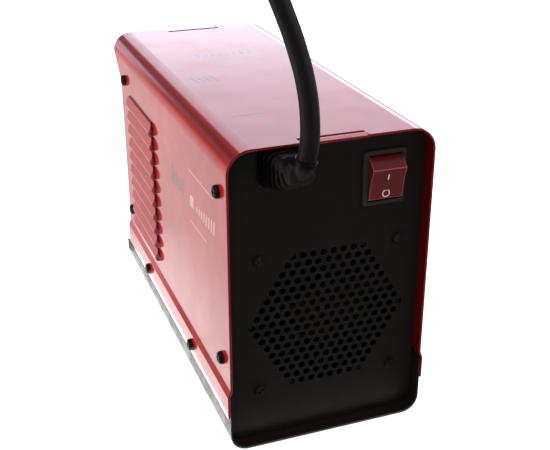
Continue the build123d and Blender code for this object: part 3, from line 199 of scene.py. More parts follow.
def red_paint():
    """Glossy deep red lacquer over steel, with a clear coat and a faint orange peel.

    The sides bow into the top bends. The paint has no coat on the cover's inside, whose red is darkened as
    painted shade; painted shade also darkens the red along the bends, on the rear rim and on the louvres' ends.
    """
    red, dark, rubbed_red = (0.30, 0.0065, 0.0080), (0.25, 0.0050, 0.0070), (0.50, 0.02, 0.02)
    # painted shade: darker reds, and how strongly they show, for the cover's inside and for faces that turn from
    # the light
    inside, painted_shade_red = shade(dark, 0.30), shade(dark, 0.25)
    bend_sharpness, bend_shade_share = 9.0, 0.72
    rim_shade_share, louvre_shade_share = 0.5, 0.85
    rim_start = 0.1                # nothing but the rear rim faces the rear beyond this Y
    g = Graph("red_paint")
    tint = g.mix(g.remap(g.noise(60.0), 0.0, 1.0), dark, red)
    tint = g.mix(g.math("MULTIPLY", g.edges(0.8), 0.25), tint, rubbed_red)
    facing = g.parts(g.add("ShaderNodeNewGeometry").outputs["Normal"])
    inward = g.math("LESS_THAN", g.math("MULTIPLY", facing["X"], g.axis("X")), -0.5 * SIDE_HALF)
    # painted shade: the faces inside the cover are given a darker red
    tint = g.mix(inward, tint, inside)
    # painted shade: the bends, the rear rim and the louvres' ends are darkened towards a darker red, where less
    # light falls
    across = g.math("MULTIPLY", g.math("ABSOLUTE", g.math("MULTIPLY", facing["X"], facing["Z"])), 2.0)
    thin = g.math("MULTIPLY", g.math("POWER", across, bend_sharpness), bend_shade_share)
    rearward = g.math("GREATER_THAN", facing["Y"], 0.3)
    ends = g.remap(g.math("LESS_THAN", g.axis("Y"), rim_start), rim_shade_share, louvre_shade_share, 0.0, 1.0)
    thin = g.math("MAXIMUM", thin, g.math("MULTIPLY", rearward, ends))
    tint = g.mix(thin, tint, painted_shade_red)
    above = g.math("MAXIMUM", g.math("SUBTRACT", g.axis("Z"), BOW_START), 0.0)
    drop = g.math("MULTIPLY", g.math("MULTIPLY", above, above), -BOW_RATE)
    rounded = g.add("ShaderNodeBevel", {"Radius": 0.6 * MM}, samples=6).outputs[0]
    bowed = g.bump(drop, 1.0, 1000.0, rounded)
    peel = g.bump(g.noise(3.0, detail=2.0), 0.06, 0.05, bowed)
    fine = g.bump(g.noise(0.7, detail=3.0), 0.05, 0.02, peel)
    g.set(Base_Color=tint, Roughness=g.remap(g.noise(25.0), 0.30, 0.40), Specular_IOR_Level=0.15)
    g.set(Normal=fine, Coat_Normal=peel)
    g.set(Coat_Weight=g.math("SUBTRACT", 1.0, inward), Coat_Roughness=g.remap(g.noise(8.0), 0.03, 0.05))
    g.set(Coat_IOR=1.5)
    return g


def black_coat():
    """Matte black powder coat: pebbled surface, slightly warm, lighter at the edges as wear and as a painted
    highlight.
    """
    g = Graph("black_coat")
    base = g.mix(g.noise(12.0), (0.0096, 0.0050, 0.0038), (0.0130, 0.0070, 0.0054))
    # painted highlight: the edges are lightened, for wear and for glints of light on them
    wear_and_highlight = g.math("MULTIPLY", g.edges(0.4), g.remap(g.noise(5.0), 0.0, 0.6))
    pebbles = g.noise(0.55, detail=3.0, roughness=0.6)
    g.set(Base_Color=g.mix(wear_and_highlight, base, (0.080, 0.074, 0.068)))
    g.set(Roughness=g.remap(g.noise(7.0), 0.40, 0.52), Specular_IOR_Level=0.36)
    g.set(Normal=g.bump(pebbles, 0.28, 0.10))
    return g


def black_screw():
    """Blackened screw steel: nearly no colour, bright only at its edges, as wear and as a painted glint."""
    # painted glint: the last colour lightens the head's edges, for wear and for a glint
    g = moulded("black_screw", (0.0060, 0.0055, 0.0050), 0.34, 0.4, 0.10, 0.2, (0.10, 0.095, 0.09))
    g.set(Specular_IOR_Level=0.28)
    return g


def rubber():
    """Black cable rubber with a soft sheen towards its edges."""
    g = moulded("rubber", (0.0068, 0.0050, 0.0043), 0.42, 0.8, 0.10, 0.2)
    g.set(Specular_IOR_Level=0.5)
    return g


def boot_rubber():
    """The strain relief's rubber: the ribs and the collar's top darkened as painted shade, and the rest of the
    collar made greyer as a painted reflection.
    """
    g = Graph("boot_rubber")
    low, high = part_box("cable_boot")
    # painted light: one rubber in two tones, the lower collar lighter as a painted reflection, the ribs and the
    # collar's top darker as painted shade
    along = g.remap(g.axis("Y"), 0.0, 1.0, high.y - COLLAR_REACH, high.y - COLLAR_REACH / 2)
    along = g.math("MULTIPLY", along, g.remap(g.axis("Z"), 1.0, 0.0, COLLAR_SHADE_HEIGHT - MM, COLLAR_SHADE_HEIGHT + MM))
    tint = g.mix(along, (0.0034, 0.0022, 0.0017), (0.0150, 0.0105, 0.0090))
    g.set(Base_Color=g.mix(g.noise(4.0), tint, g.mix(0.2, tint, (0, 0, 0))), Specular_IOR_Level=0.4)
    g.set(Roughness=g.remap(g.noise(3.0), 0.36, 0.46), Normal=g.bump(g.noise(0.7, detail=6.0), 0.10, 0.14))
    return g


def rocker_red():
    """Deep red rocker plastic with a satin skin, and edges lightened as a painted highlight."""
    g = Graph("red_plastic")
    tint = g.mix(g.noise(5.0), (0.088, 0.0060, 0.0070), (0.105, 0.0078, 0.0088))
    # painted highlight: the edges are lightened, standing in for a reflection on the fillets
    tint = g.mix(g.math("MULTIPLY", g.edges(0.6, 0.001, 0.02), 0.9), tint, (0.42, 0.085, 0.095))
    g.set(Base_Color=tint, Roughness=g.remap(g.noise(2.0), 0.28, 0.36), Coat_Weight=0.12)
    g.set(Normal=g.bump(g.noise(0.6), 0.06, 0.04))
    return g


def circuit_board(name, colour):
    """Solder-resist green or blue with lighter copper tracks showing through."""
    g = Graph(name)
    tracks = g.add("ShaderNodeTexBrick", {"Vector": g.place, "Scale": 160.0, "Mortar Size": 0.03})
    line = g.math("SUBTRACT", 1.0, tracks.outputs["Fac"])
    tint = g.mix(g.math("MULTIPLY", line, 0.25), shade(colour, 1.8), colour)
    g.set(Base_Color=g.mix(g.remap(g.noise(8.0), 0.0, 0.3), tint, shade(colour, 0.6)))
    g.set(Roughness=g.remap(g.noise(3.0), 0.3, 0.45), Normal=g.bump(line, 0.2, 0.05))
    return g


def window_plastic():
    """Smoked red display window."""
    g = Graph("window")
    g.set(Base_Color=g.mix(g.noise(20.0), (0.03, 0.004, 0.004), (0.04, 0.006, 0.005)))
    g.set(Roughness=g.remap(g.noise(6.0), 0.06, 0.12), Coat_Weight=1.0)
    g.set(Normal=g.bump(g.noise(1.5), 0.03, 0.02))
    return g


def coil():
    """Enamelled copper turns: fine ridges round the coil."""
    g = Graph("copper_coil")
    turns = g.add("ShaderNodeTexWave", {"Vector": g.place, "Scale": 260.0, "Distortion": 0.4},
                  bands_direction="Z")
    tint = g.mix(turns.outputs["Fac"], (0.30, 0.12, 0.05), (0.62, 0.30, 0.14))
    g.set(Base_Color=tint, Metallic=0.8, Roughness=g.remap(g.noise(3.0), 0.3, 0.45))
    g.set(Normal=g.bump(turns.outputs["Fac"], 0.6, 0.3))
    return g


def lamp_plastic():
    """Tinted indicator lenses: green, amber and red from the lowest up."""
    g = Graph("lamp")
    height = g.axis("Z")
    low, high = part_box("indicator_lamps")
    third = (high.z - low.z) / 3
    amber_up = g.math("GREATER_THAN", height, low.z + third)
    red_up = g.math("GREATER_THAN", height, low.z + 2 * third)
    tint = g.mix(red_up, g.mix(amber_up, (0.05, 0.32, 0.08), (0.50, 0.26, 0.03)), (0.42, 0.03, 0.03))
    g.set(Base_Color=g.mix(g.noise(4.0), tint, g.mix(0.2, tint, (0, 0, 0))))
    g.set(Roughness=g.remap(g.noise(2.0), 0.12, 0.2), Transmission_Weight=0.2)
    g.set(Normal=g.bump(g.noise(0.8), 0.05, 0.03))
    return g


def core_sheath():
    """The three cores' sheaths, told apart by colour: brown, blue, and green with yellow stripes."""
    blue_above, earth_below = 1.55, -0.55          # the turn about the cable's axis, in radians
    stripe_rate = 2600.0                           # radians of the stripes' wave per metre
    g = Graph("core_sheath")
    tail = next(m for m in frame["record"]["mounts"] if m["name"] == "mains_tail")
    along = Vector(tail["axis"]).normalized()
    first = Vector((-along.y, along.x, 0)).normalized()
    second = along.cross(first)

    def across(way):
        from_end = g.add("ShaderNodeVectorMath", operation="SUBTRACT")
        g.put(from_end.inputs[0], g.place)
        from_end.inputs[1].default_value = Vector(tail["pos_m"])
        dot = g.add("ShaderNodeVectorMath", operation="DOT_PRODUCT")
        g.put(dot.inputs[0], from_end.outputs[0])
        dot.inputs[1].default_value = way
        return dot.outputs["Value"]

    turn = g.math("ARCTAN2", across(second), across(first))
    blue = g.math("GREATER_THAN", turn, blue_above)
    wave = g.math("SINE", g.math("MULTIPLY", across(second), stripe_rate))
    earth_colour = g.mix(g.math("GREATER_THAN", wave, 0.1), (0.03, 0.25, 0.05), (0.62, 0.50, 0.04))
    earth = g.math("LESS_THAN", turn, earth_below)
    tint = g.mix(earth, g.mix(blue, (0.13, 0.045, 0.02), (0.02, 0.07, 0.36)), earth_colour)
    g.set(Base_Color=g.mix(g.noise(5.0), tint, g.mix(0.15, tint, (0, 0, 0))))
    g.set(Roughness=g.remap(g.noise(3.0), 0.34, 0.44), Normal=g.bump(g.noise(0.8), 0.08, 0.05))
    return g


def lacquered_print(name, colour):
    """Thin ink under the cover's clear coat."""
    g = Graph(name)
    worn = g.remap(g.noise(1.5), 0.0, 0.35)
    g.set(Base_Color=g.mix(worn, colour, (0.28, 0.03, 0.04)), Roughness=g.remap(g.noise(4.0), 0.3, 0.4))
    g.set(Coat_Weight=1.0, Coat_Roughness=0.04, Coat_IOR=1.5, Normal=g.bump(g.noise(0.8), 0.05, 0.02))
    g.set(Specular_IOR_Level=0.15)
    return g


def make_materials():
    """Every material by name: one for each of the record's slots, then those of the added pieces."""
    made = {
        "red_paint": red_paint(),
        "black_coat": black_coat(),
        "black_screw": black_screw(),
        "zinc": metal("zinc", (0.62, 0.61, 0.58), 0.34),
        "steel": metal("steel", (0.56, 0.56, 0.57), 0.28),
        "brass": metal("brass", (0.66, 0.46, 0.19), 0.26),
        "copper": metal("copper", (0.70, 0.36, 0.22), 0.30),
        "aluminium": metal("aluminium", (0.70, 0.71, 0.72), 0.32, (30, 1, 30)),
        "black_plastic": moulded("black_plastic", (0.0085, 0.0080, 0.0080), 0.48, 0.5, 0.14),
        "switch_plastic": moulded("switch_plastic", (0.022, 0.022, 0.020), 0.34, 0.6, 0.06),
        "red_plastic": rocker_red(),
        "fascia_plastic": moulded("fascia_plastic", (0.035, 0.035, 0.037), 0.42, 0.5, 0.10),
        "rubber": rubber(),
        "core_sheath": core_sheath(),
        "window": window_plastic(),
        "lamp": lamp_plastic(),
        "board": circuit_board("board", (0.02, 0.13, 0.05)),
        "control_board": circuit_board("control_board", (0.015, 0.07, 0.13)),
        "package": moulded("package", (0.018, 0.018, 0.019), 0.55, 0.35, 0.2),
        "ferrite": moulded("ferrite", (0.05, 0.05, 0.053), 0.6, 0.5, 0.3),
        "insulation": moulded("insulation", (0.60, 0.55, 0.40), 0.45, 0.9, 0.15),
        "capacitor": moulded("capacitor", (0.02, 0.035, 0.13), 0.35, 0.9, 0.06),
        "relay": moulded("relay", (0.05, 0.09, 0.25), 0.4, 0.6, 0.08),
        "wire": moulded("wire", (0.03, 0.03, 0.035), 0.4, 0.8, 0.08),
        "magnet": moulded("magnet", (0.08, 0.08, 0.085), 0.5, 0.5, 0.2),
        "coil": coil(),
        "boot_rubber": boot_rubber(),
        "pale_paint": moulded("pale_paint", (0.66, 0.42, 0.42), 0.45, 0.4, 0.06, 0.06),
        "white_print": moulded("white_print", (0.86, 0.84, 0.84), 0.35, 0.5, 0.05, 0.04),
        "grey_print": moulded("grey_print", (0.20, 0.22, 0.25), 0.35, 0.5, 0.05, 0.10),
        "faint_white": lacquered_print("faint_white", (0.44, 0.22, 0.22)),
        "faint_grey": lacquered_print("faint_grey", (0.018, 0.022, 0.028)),
        "top_grey": lacquered_print("top_grey", (0.035, 0.018, 0.028)),
        "unlit": moulded("unlit", (0.075, 0.020, 0.018), 0.25, 0.5, 0.04, 0.08),
    }
    return {name: graph.material for name, graph in made.items()}


def dress_cad_nodes(materials):
    """Gives every CAD node the material of its slot; the coils show their turns."""
    slot_of = {part["node"]: part["material_slot"] for part in frame["record"]["subparts"]}
    for name, node in nodes.items():
        node.data.materials.clear()
        node.data.materials.append(materials["coil" if name in COILS else slot_of[name]])


# ================================================================ stage, light and camera
CAMERA_AZIMUTH = 159.42        # degrees: where the camera stands, 0 in front and 90 at +X
CAMERA_ELEVATION = 24.61
CAMERA_LENS = 61.74            # mm, as is the sensor's width
SENSOR = 36.0
CAMERA_PLACE = Vector((0.18871, 0.54305, 0.34098))

SOFTBOX = 1.41                 # radiance of the big softbox in front of the case
SOFTBOX_LOW = 0.9              # what is added along its lower edge
SOFTBOX_TINT = (1.0, 0.98, 1.14, 1)
ROOM = 0.04                    # radiance of the dark room
AMBIENT = 0.21                 # what matte surfaces get from all around
WHITE = 1.05                   # what the camera sees behind the object

FLOOR = 0.78                   # the floor's glow in reflections, which fades over these angles, in
HORIZON_FADE = (-14.0, 17.0)   # degrees below the horizon
FLOOR_BESIDE = 0.46            # what is added beside the case,
BESIDE_REACH = (0.07, 0.012)   # between these distances from it, in metres,
FLOOR_CONTACT = 4.20           # and along the line where the case stands
CONTACT_REACH = (0.0086, 0.0055)
FLOOR_BEHIND = 0.015           # what is left of it behind the rear panel
REAR_FADE = (0.93, 0.75)       # where the glow comes up, as shares of the case's rearmost Y
SHADED_WAY = (30.0, 60.0, 4.0)  # the ways, in degrees, in which reflections meet a darker floor
SHADED_SHARE = 0.85
FLOOR_TINT = (1, 0.985, 0.985, 1)
PAPER = 0.80                   # the floor's own whiteness, as reflectance and as emission
BOUNCE = 1.7                   # extra light that the floor at the left throws up at matte surfaces
BOUNCE_X = (0.0, 0.08)         # and where it comes up
BOUNCE_Y = (0.09, 0.0)


class Studio(Graph):
    """A graph for the world or the floor, which may differ by the kind of ray that meets it."""

    def __init__(self, tree, output):
        self.tree = tree
        tree.nodes.clear()
        self.output = self.add(output)
        self.path = self.add("ShaderNodeLightPath").outputs

    def between(self, value, none_at, full_at):
        """A smooth rise from 0 at none_at to 1 at full_at, in either direction."""
        values = {"Value": value, "From Min": none_at, "From Max": full_at, "To Min": 0.0, "To Max": 1.0}
        node = self.add("ShaderNodeMapRange", values, interpolation_type="SMOOTHSTEP")
        return node.outputs["Result"]

    def window(self, value, low, high, soft):
        """1 between low and high, with soft shoulders outside them."""
        rise = self.between(value, low - soft, low)
        fall = self.between(value, high + soft, high)
        return self.math("MULTIPLY", rise, fall)

    def total(self, *values):
        """The sum of any number of values."""
        result = values[0]
        for value in values[1:]:
            result = self.math("ADD", result, value)
        return result

    def heading(self, x, y):
        """The azimuth of a direction in degrees: 0 towards -Y, 90 towards +X."""
        turn = self.math("ARCTAN2", x, self.math("MULTIPLY", y, -1.0))
        return self.math("MULTIPLY", turn, 180.0 / math.pi)

    def tilt(self, z):
        """The angle in degrees that a direction makes with the ground, from its Z."""
        return self.math("MULTIPLY", self.math("ARCSINE", z), 180.0 / math.pi)

    def choose(self, flag, otherwise, chosen):
        """A shader that depends on a kind of ray."""
        node = self.add("ShaderNodeMixShader")
        self.put(node.inputs[0], self.path[flag])
        self.put(node.inputs[1], otherwise)
        self.put(node.inputs[2], chosen)
        return node.outputs[0]


def make_world():
    """White behind the object for the camera, a dark studio with softboxes for what it reflects."""
    world = bpy.data.worlds.new("studio")
    bpy.context.scene.world = world
    world.use_nodes = True
    world.cycles.sampling_method = "NONE"
    g = Studio(world.node_tree, "ShaderNodeOutputWorld")
    way = g.parts(g.add("ShaderNodeTexCoord").outputs["Generated"])
    azimuth = g.heading(way["X"], way["Y"])
    elevation = g.tilt(way["Z"])

    def softbox(level, turn, height, soft):
        """A bright patch between two azimuths and two elevations, with soft edges, all in degrees."""
        spot = g.math("MULTIPLY", g.window(azimuth, *turn, soft), g.window(elevation, *height, soft))
        return g.math("MULTIPLY", spot, level)

    lights = g.total(
        softbox(SOFTBOX, (-46, 2), (9, 46), 3.5),               # what the top reflects
        softbox(SOFTBOX_LOW, (-44, -4), (6, 12), 5.0),
        softbox(0.09, (15, 26), (10, 15), 2.0),                 # a faint patch beside it
        softbox(0.95, (-10, 17), (-9, 9), 4.0),                 # the horizon, in the top bends
        softbox(0.9, (-46, -14), (-6, 9), 4.0),
        g.remap(elevation, FLOOR / 6, 0.0, 0.0, 4.0),           # a trace of the floor's glow above it
        softbox(0.5, (-150, -75), (12, 50), 14.0),              # large dim boxes right, left and behind
        softbox(0.4, (70, 125), (15, 50), 14.0),
        softbox(0.3, (150, 178), (50, 70), 10.0),
        ROOM,
    )
    white = g.add("ShaderNodeBackground", {"Color": (1, 1, 1, 1), "Strength": WHITE}).outputs[0]
    studio = g.add("ShaderNodeBackground", {"Color": SOFTBOX_TINT, "Strength": lights}).outputs[0]
    glow = g.add("ShaderNodeBackground", {"Color": (1, 1, 1, 1), "Strength": AMBIENT}).outputs[0]
    seen = g.choose("Is Camera Ray", g.choose("Is Glossy Ray", glow, studio), white)
    g.put(g.output.inputs["Surface"], seen)


def make_floor():
    """A wide white floor, which glows beside and ahead of the case where reflections meet it."""
    size = 6.0                     # half its width, in metres
    gap = Vector((0, 0, 0.4 * MM))
    mesh = bpy.data.meshes.new("floor")
    corners = [(-size, -size, 0), (size, -size, 0), (size, size, 0), (-size, size, 0)]
    mesh.from_pydata([Vector(c) - gap for c in corners], [], [(0, 1, 2, 3)])
    floor = bpy.data.objects.new("floor", mesh)
    bpy.context.scene.collection.objects.link(floor)
    material = bpy.data.materials.new("floor")
    material.use_nodes = True
    material.cycles.emission_sampling = "NONE"
    g = Studio(material.node_tree, "ShaderNodeOutputMaterial")
    place = g.parts(g.add("ShaderNodeTexCoord").outputs["Object"])
    beside = g.math("MAXIMUM", g.math("SUBTRACT", g.math("ABSOLUTE", place["X"]), cad_high.x), 0.0)
    ahead = g.math("MAXIMUM", g.math("SUBTRACT", cad_low.y, place["Y"]), 0.0)
    away = g.math("SQRT", g.math("ADD", g.math("MULTIPLY", beside, beside), g.math("MULTIPLY", ahead, ahead)))
    to_eye = g.parts(g.add("ShaderNodeNewGeometry").outputs["Incoming"])
    turn = g.heading(g.math("MULTIPLY", to_eye["X"], -1.0), g.math("MULTIPLY", to_eye["Y"], -1.0))
    lit = g.total(
        g.math("MULTIPLY", g.between(away, *BESIDE_REACH), FLOOR_BESIDE),
        g.math("MULTIPLY", g.between(away, *CONTACT_REACH), FLOOR_CONTACT),
        g.remap(g.tilt(to_eye["Z"]), 0.0, FLOOR, *HORIZON_FADE),
    )
    in_front = g.between(place["Y"], *(cad_high.y * share for share in REAR_FADE))
    lit = g.math("ADD", g.math("MULTIPLY", lit, in_front), FLOOR_BEHIND)
    shaded = g.math("MULTIPLY", g.window(turn, *SHADED_WAY), SHADED_SHARE)
    lit = g.math("MULTIPLY", lit, g.math("SUBTRACT", 1.0, shaded))
    glow = g.add("ShaderNodeEmission", {"Color": FLOOR_TINT, "Strength": lit}).outputs[0]
    paper = g.add("ShaderNodeBsdfPrincipled", {"Base Color": (PAPER, PAPER, PAPER, 1), "Roughness": 0.7})
    g.put(paper.inputs["Emission Color"], (1, 1, 1, 1))
    bounce = g.math("MULTIPLY", g.between(place["X"], *BOUNCE_X), g.between(place["Y"], *BOUNCE_Y))
    bounce = g.math("MULTIPLY", bounce, BOUNCE)
    bounce = g.math("MULTIPLY", bounce, g.path["Is Diffuse Ray"])
    g.put(paper.inputs["Emission Strength"], g.math("ADD", bounce, PAPER))
    g.put(g.output.inputs["Surface"], g.choose("Is Glossy Ray", paper.outputs[0], glow))
    mesh.materials.append(material)


def direction(azimuth, elevation):
    """The way to a place round the object. Azimuth 0 is in front, at -Y, and 90 is at +X."""
    a, e = math.radians(azimuth), math.radians(elevation)
    return Vector((math.sin(a) * math.cos(e), -math.cos(a) * math.cos(e), math.sin(e)))


def soft_light(name, azimuth, elevation, distance, size, power):
    """A softbox that lights matte surfaces and isn't seen in reflections."""
    target = Vector((0, 0, cad_high.z * 0.3))      # about half the case's height
    away = direction(azimuth, elevation)
    light = bpy.data.lights.new(name, "AREA")
    light.size = size
    light.energy = power
    holder = bpy.data.objects.new(name, light)
    holder.location = target + away * distance
    holder.rotation_mode = "QUATERNION"
    holder.rotation_quaternion = away.to_track_quat("Z", "Y")
    holder.visible_glossy = False
    bpy.context.scene.collection.objects.link(holder)


def make_lights():
    """Softboxes all round: a low one close to the left side, a steep one behind, two far ones."""
    soft_light("left_key", 80, 9, 0.95, 0.6, 10)
    soft_light("rear_fill", 172, 70, 1.6, 0.8, 11)
    soft_light("front_fill", -15, 30, 1.6, 1.0, 12)
    soft_light("right_fill", 260, 30, 1.6, 1.0, 9)


def make_camera():
    """The camera at the viewing angle of a three-quarter rear view from above."""
    camera = bpy.data.cameras.new("camera")
    camera.sensor_width = SENSOR
    camera.lens = CAMERA_LENS
    camera.clip_start = 0.02
    camera.clip_end = 50.0
    holder = bpy.data.objects.new("camera", camera)
    holder.location = CAMERA_PLACE
    holder.rotation_mode = "QUATERNION"
    holder.rotation_quaternion = (-direction(CAMERA_AZIMUTH, CAMERA_ELEVATION)).to_track_quat("-Z", "Y")
    bpy.context.scene.collection.objects.link(holder)
    bpy.context.scene.camera = holder


# ================================================================ pieces
def new_piece(name, mesh, material, body):
    """Makes a piece of the object from a mesh, riding on a body."""
    piece = bpy.data.objects.new(name, mesh)
    bpy.context.scene.collection.objects.link(piece)
    mesh.materials.clear()
    mesh.materials.append(material)
    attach(piece, body)
    return piece


def applied(source):
    """The mesh of an object with its modifiers applied; the object itself is removed."""
    depsgraph = bpy.context.evaluated_depsgraph_get()
    depsgraph.update()
    mesh = bpy.data.meshes.new_from_object(source.evaluated_get(depsgraph))
    bpy.data.objects.remove(source)
    return mesh


def softened(node, voxel_mm, smoothing, wander_mm, wander_size_mm):
    """A soft part's own mesh: rounded edges, and a surface that wanders a little."""
    source = bpy.data.objects.new(f"{node}_source", nodes[node].data.copy())
    bpy.context.scene.collection.objects.link(source)
    remesh = source.modifiers.new("remesh", "REMESH")
    remesh.mode = "VOXEL"
    remesh.voxel_size = voxel_mm * MM
    smooth = source.modifiers.new("smooth", "SMOOTH")
    smooth.factor = 0.5
    smooth.iterations = smoothing
    mesh = applied(source)
    mesh.shade_smooth()
    normals = [v.normal.copy() for v in mesh.vertices]
    for vertex, normal in zip(mesh.vertices, normals):
        wander = noise.noise(vertex.co / (wander_size_mm * MM)) * wander_mm * MM
        vertex.co += normal * wander
    mesh.update()
    return mesh


def make_soft_parts(materials):
    """The cable, its ribbed strain relief, the bare cores at its end and the leads inside."""
    soft_parts = (
        # piece, the CAD node it replaces, material, slot, then how it is softened
        ("cable_jacket", "mains_cable", "rubber", "rubber", 0.8, 6, 0.10, 9.0),
        ("strain_relief", "cable_boot", "boot_rubber", "rubber", 0.36, 5, 0.06, 5.0),
        ("tail_cores", "cable_cores", "core_sheath", "core_sheath", 0.30, 4, 0.04, 4.0),
        ("inner_leads", "internal_wiring", "wire", "wire", 0.45, 4, 0.05, 5.0),
    )
    for name, node, material, slot, *softening in soft_parts:
        mesh = softened(node, *softening)
        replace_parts(new_piece(name, mesh, materials[material], "case"), node)


def surface_point(node, start, way):
    """Where a ray from start meets a CAD node at rest, and the surface's normal there."""
    mesh = nodes[node].data
    corners = [v.co for v in mesh.vertices]
    tree = BVHTree.FromPolygons(corners, [p.vertices for p in mesh.polygons])
    point, normal, _, _ = tree.ray_cast(Vector(start), Vector(way))
    return point, normal


def inlay(outlines, origin, right, normal, proud_mm, deep_mm):
    """Thin closed slabs on a plane, from outlines in millimetres: (outer loop, inner loop or None).

    They stand proud of the plane by proud_mm and reach deep_mm below it.
    """
    up = normal.cross(right).normalized()
    across = up.cross(normal).normalized()
    work = bmesh.new()

    def loop(points, height):
        return [work.verts.new(origin + (across * u + up * v + normal * height) * MM) for u, v in points]

    def wall(low, high):
        for i in range(len(low)):
            k = (i + 1) % len(low)
            work.faces.new((low[i], low[k], high[k], high[i]))

    for outer, inner in outlines:
        low, high = loop(outer, -deep_mm), loop(outer, proud_mm)
        wall(low, high)
        if inner is None:
            work.faces.new(high)
            work.faces.new(list(reversed(low)))
        else:
            low_in, high_in = loop(inner, -deep_mm), loop(inner, proud_mm)
            wall(high_in, low_in)
            wall(high, high_in)
            wall(low_in, low)
    bmesh.ops.recalc_face_normals(work, faces=work.faces)
    mesh = bpy.data.meshes.new("inlay")
    work.to_mesh(mesh)
    work.free()
    return mesh


def bar(u0, v0, u1, v1, width):
    """The outline of a straight bar between two points."""
    along = Vector((u1 - u0, v1 - v0)).normalized()
    side = Vector((-along.y, along.x)) * width / 2
    start, end = Vector((u0, v0)), Vector((u1, v1))
    return [tuple(p) for p in (start - side, end - side, end + side, start + side)], None


def leaning_bars(u0, v0, pitch, width, heights, slant):
    """A row of bars of different heights that stand on one line and lean the same way."""
    outlines = []
    for i, height in enumerate(heights):
        left = u0 + i * pitch
        right = left + width
        top = v0 + height
        lean = height * slant
        outlines.append(([(left, v0), (right, v0), (right + lean, top), (left + lean, top)], None))
    return outlines


def circle(radius, count=40):
    """A circle's outline about the middle."""
    turns = [2 * math.pi * i / count for i in range(count)]
    return [(radius * math.cos(t), radius * math.sin(t)) for t in turns]


def plus_sign(half, stroke):
    """The outline of a plus sign: three corners of one arm, turned to each side."""
    thin = stroke / 2
    points = [(-half, -thin), (-thin, -thin), (-thin, -half)]
    outline = []
    for _ in range(4):
        outline += points
        points = [(-v, u) for u, v in points]
    return outline


def rounded_rectangle(half_u, half_v, corner, steps=8):
    """A rectangle's outline with rounded corners."""
    points = []
    for quarter in range(4):
        sign_u = 1 if quarter in (0, 3) else -1
        sign_v = 1 if quarter < 2 else -1
        for i in range(steps + 1):
            turn = math.pi / 2 * (quarter + i / steps)
            u = sign_u * (half_u - corner) + corner * math.cos(turn)
            v = sign_v * (half_v - corner) + corner * math.sin(turn)
            points.append((u, v))
    return points


def flipped(outlines):
    """Solid outlines with their first coordinate reversed."""
    return [([(-u, v) for u, v in outer], None) for outer, _ in outlines]


def make_rocker_marks(materials):
    """The I and O marks, filled with pale paint, on the rocker's face."""
    pivot = next(Vector(j["pos_m"]) for j in frame["joints"] if j["name"] == "rocker_press")
    tilt = math.radians(ROCKER_TILT)
    up = Vector((0, math.sin(tilt), math.cos(tilt)))
    out = Vector((0, math.cos(tilt), -math.sin(tilt)))
    well_outside = out * 0.05
    marks = (
        # piece, outlines in millimetres, height above the pivot along the rocker
        ("mark_on", [bar(0, -1.75, 0, 1.75, 0.72)], 4.2),
        ("mark_off", [(circle(2.35), circle(1.75))], -6.2),
    )
    for name, outlines, height in marks:
        point, normal = surface_point("switch_rocker", pivot + up * height * MM + well_outside, -out)
        mesh = inlay(outlines, point, -FRONT_RIGHT, normal, 0.05, 0.3)
        new_piece(name, mesh, materials["pale_paint"], "rocker")


def make_case_graphics(materials):
    """Fine lines and a rising scale on each side, and rows of plain bars beside it and on the top."""
    proud, deep = 0.03, 0.2
    slant = 0.2
    upper_line, lower_line = bar(57, 147, 105, 147, 0.8), bar(57, 115.3, 91, 115.3, 0.8)
    block = leaning_bars(58, 124.8, 1, 7.5, [7.5], 0.15)
    scale = leaning_bars(71, 125.5, 4.6, 2.2, [4.0 + 0.7 * i for i in range(8)], slant)
    white = [upper_line, lower_line] + block + scale
    grey = leaning_bars(17, 125.0, 4.9, 2.3, [13.0, 8.5, 10.5, 8.5, 8.5, 12.0], slant)
    for side, sign in (("left", 1), ("right", -1)):
        normal = Vector((sign, 0, 0))
        right = Vector((0, sign, 0))
        for kind, outlines in (("white", white), ("grey", grey)):
            drawn = outlines if sign > 0 else flipped(outlines)
            mesh = inlay(drawn, normal * SIDE_HALF, right, normal, proud, deep)
            new_piece(f"{side}_{kind}_print", mesh, materials[f"faint_{kind}"], "case")
    row = leaning_bars(-21, 52, 5.1, 2.4, [11, 8, 8, 10, 8, 8, 10, 12], slant)
    slashes = leaning_bars(-37, -6, 4.2, 1.6, [12] * 4, -slant)
    top = row + slashes + [bar(-39, -75.5, -20.5, -75.5, 0.9)]
    mesh = inlay(top, Vector((0, 0, cad_top)), -FRONT_RIGHT, Vector((0, 0, 1)), proud, deep)
    new_piece("top_print", mesh, materials["top_grey"], "case")


def lettering(text, size_mm):
    """Figures as a mesh, flat on the XY plane and centred."""
    curve = bpy.data.curves.new("figures", "FONT")
    curve.body = text
    curve.size = size_mm * MM
    curve.align_x = "CENTER"
    curve.align_y = "CENTER"
    curve.extrude = 0.1 * MM
    curve.resolution_u = 4
    source = bpy.data.objects.new("figures", curve)
    bpy.context.scene.collection.objects.link(source)
    return applied(source)


def joined(meshes):
    """One mesh from several."""
    work = bmesh.new()
    for mesh in meshes:
        work.from_mesh(mesh)
    result = bpy.data.meshes.new("joined")
    work.to_mesh(result)
    work.free()
    return result


def on_front(mesh, x, y, z):
    """Turns a mesh drawn on XY to face the front, and moves it to a place."""
    mesh.transform(Matrix.Translation((x, y, z)) @ Matrix.Rotation(math.pi / 2, 4, "X"))
    return mesh


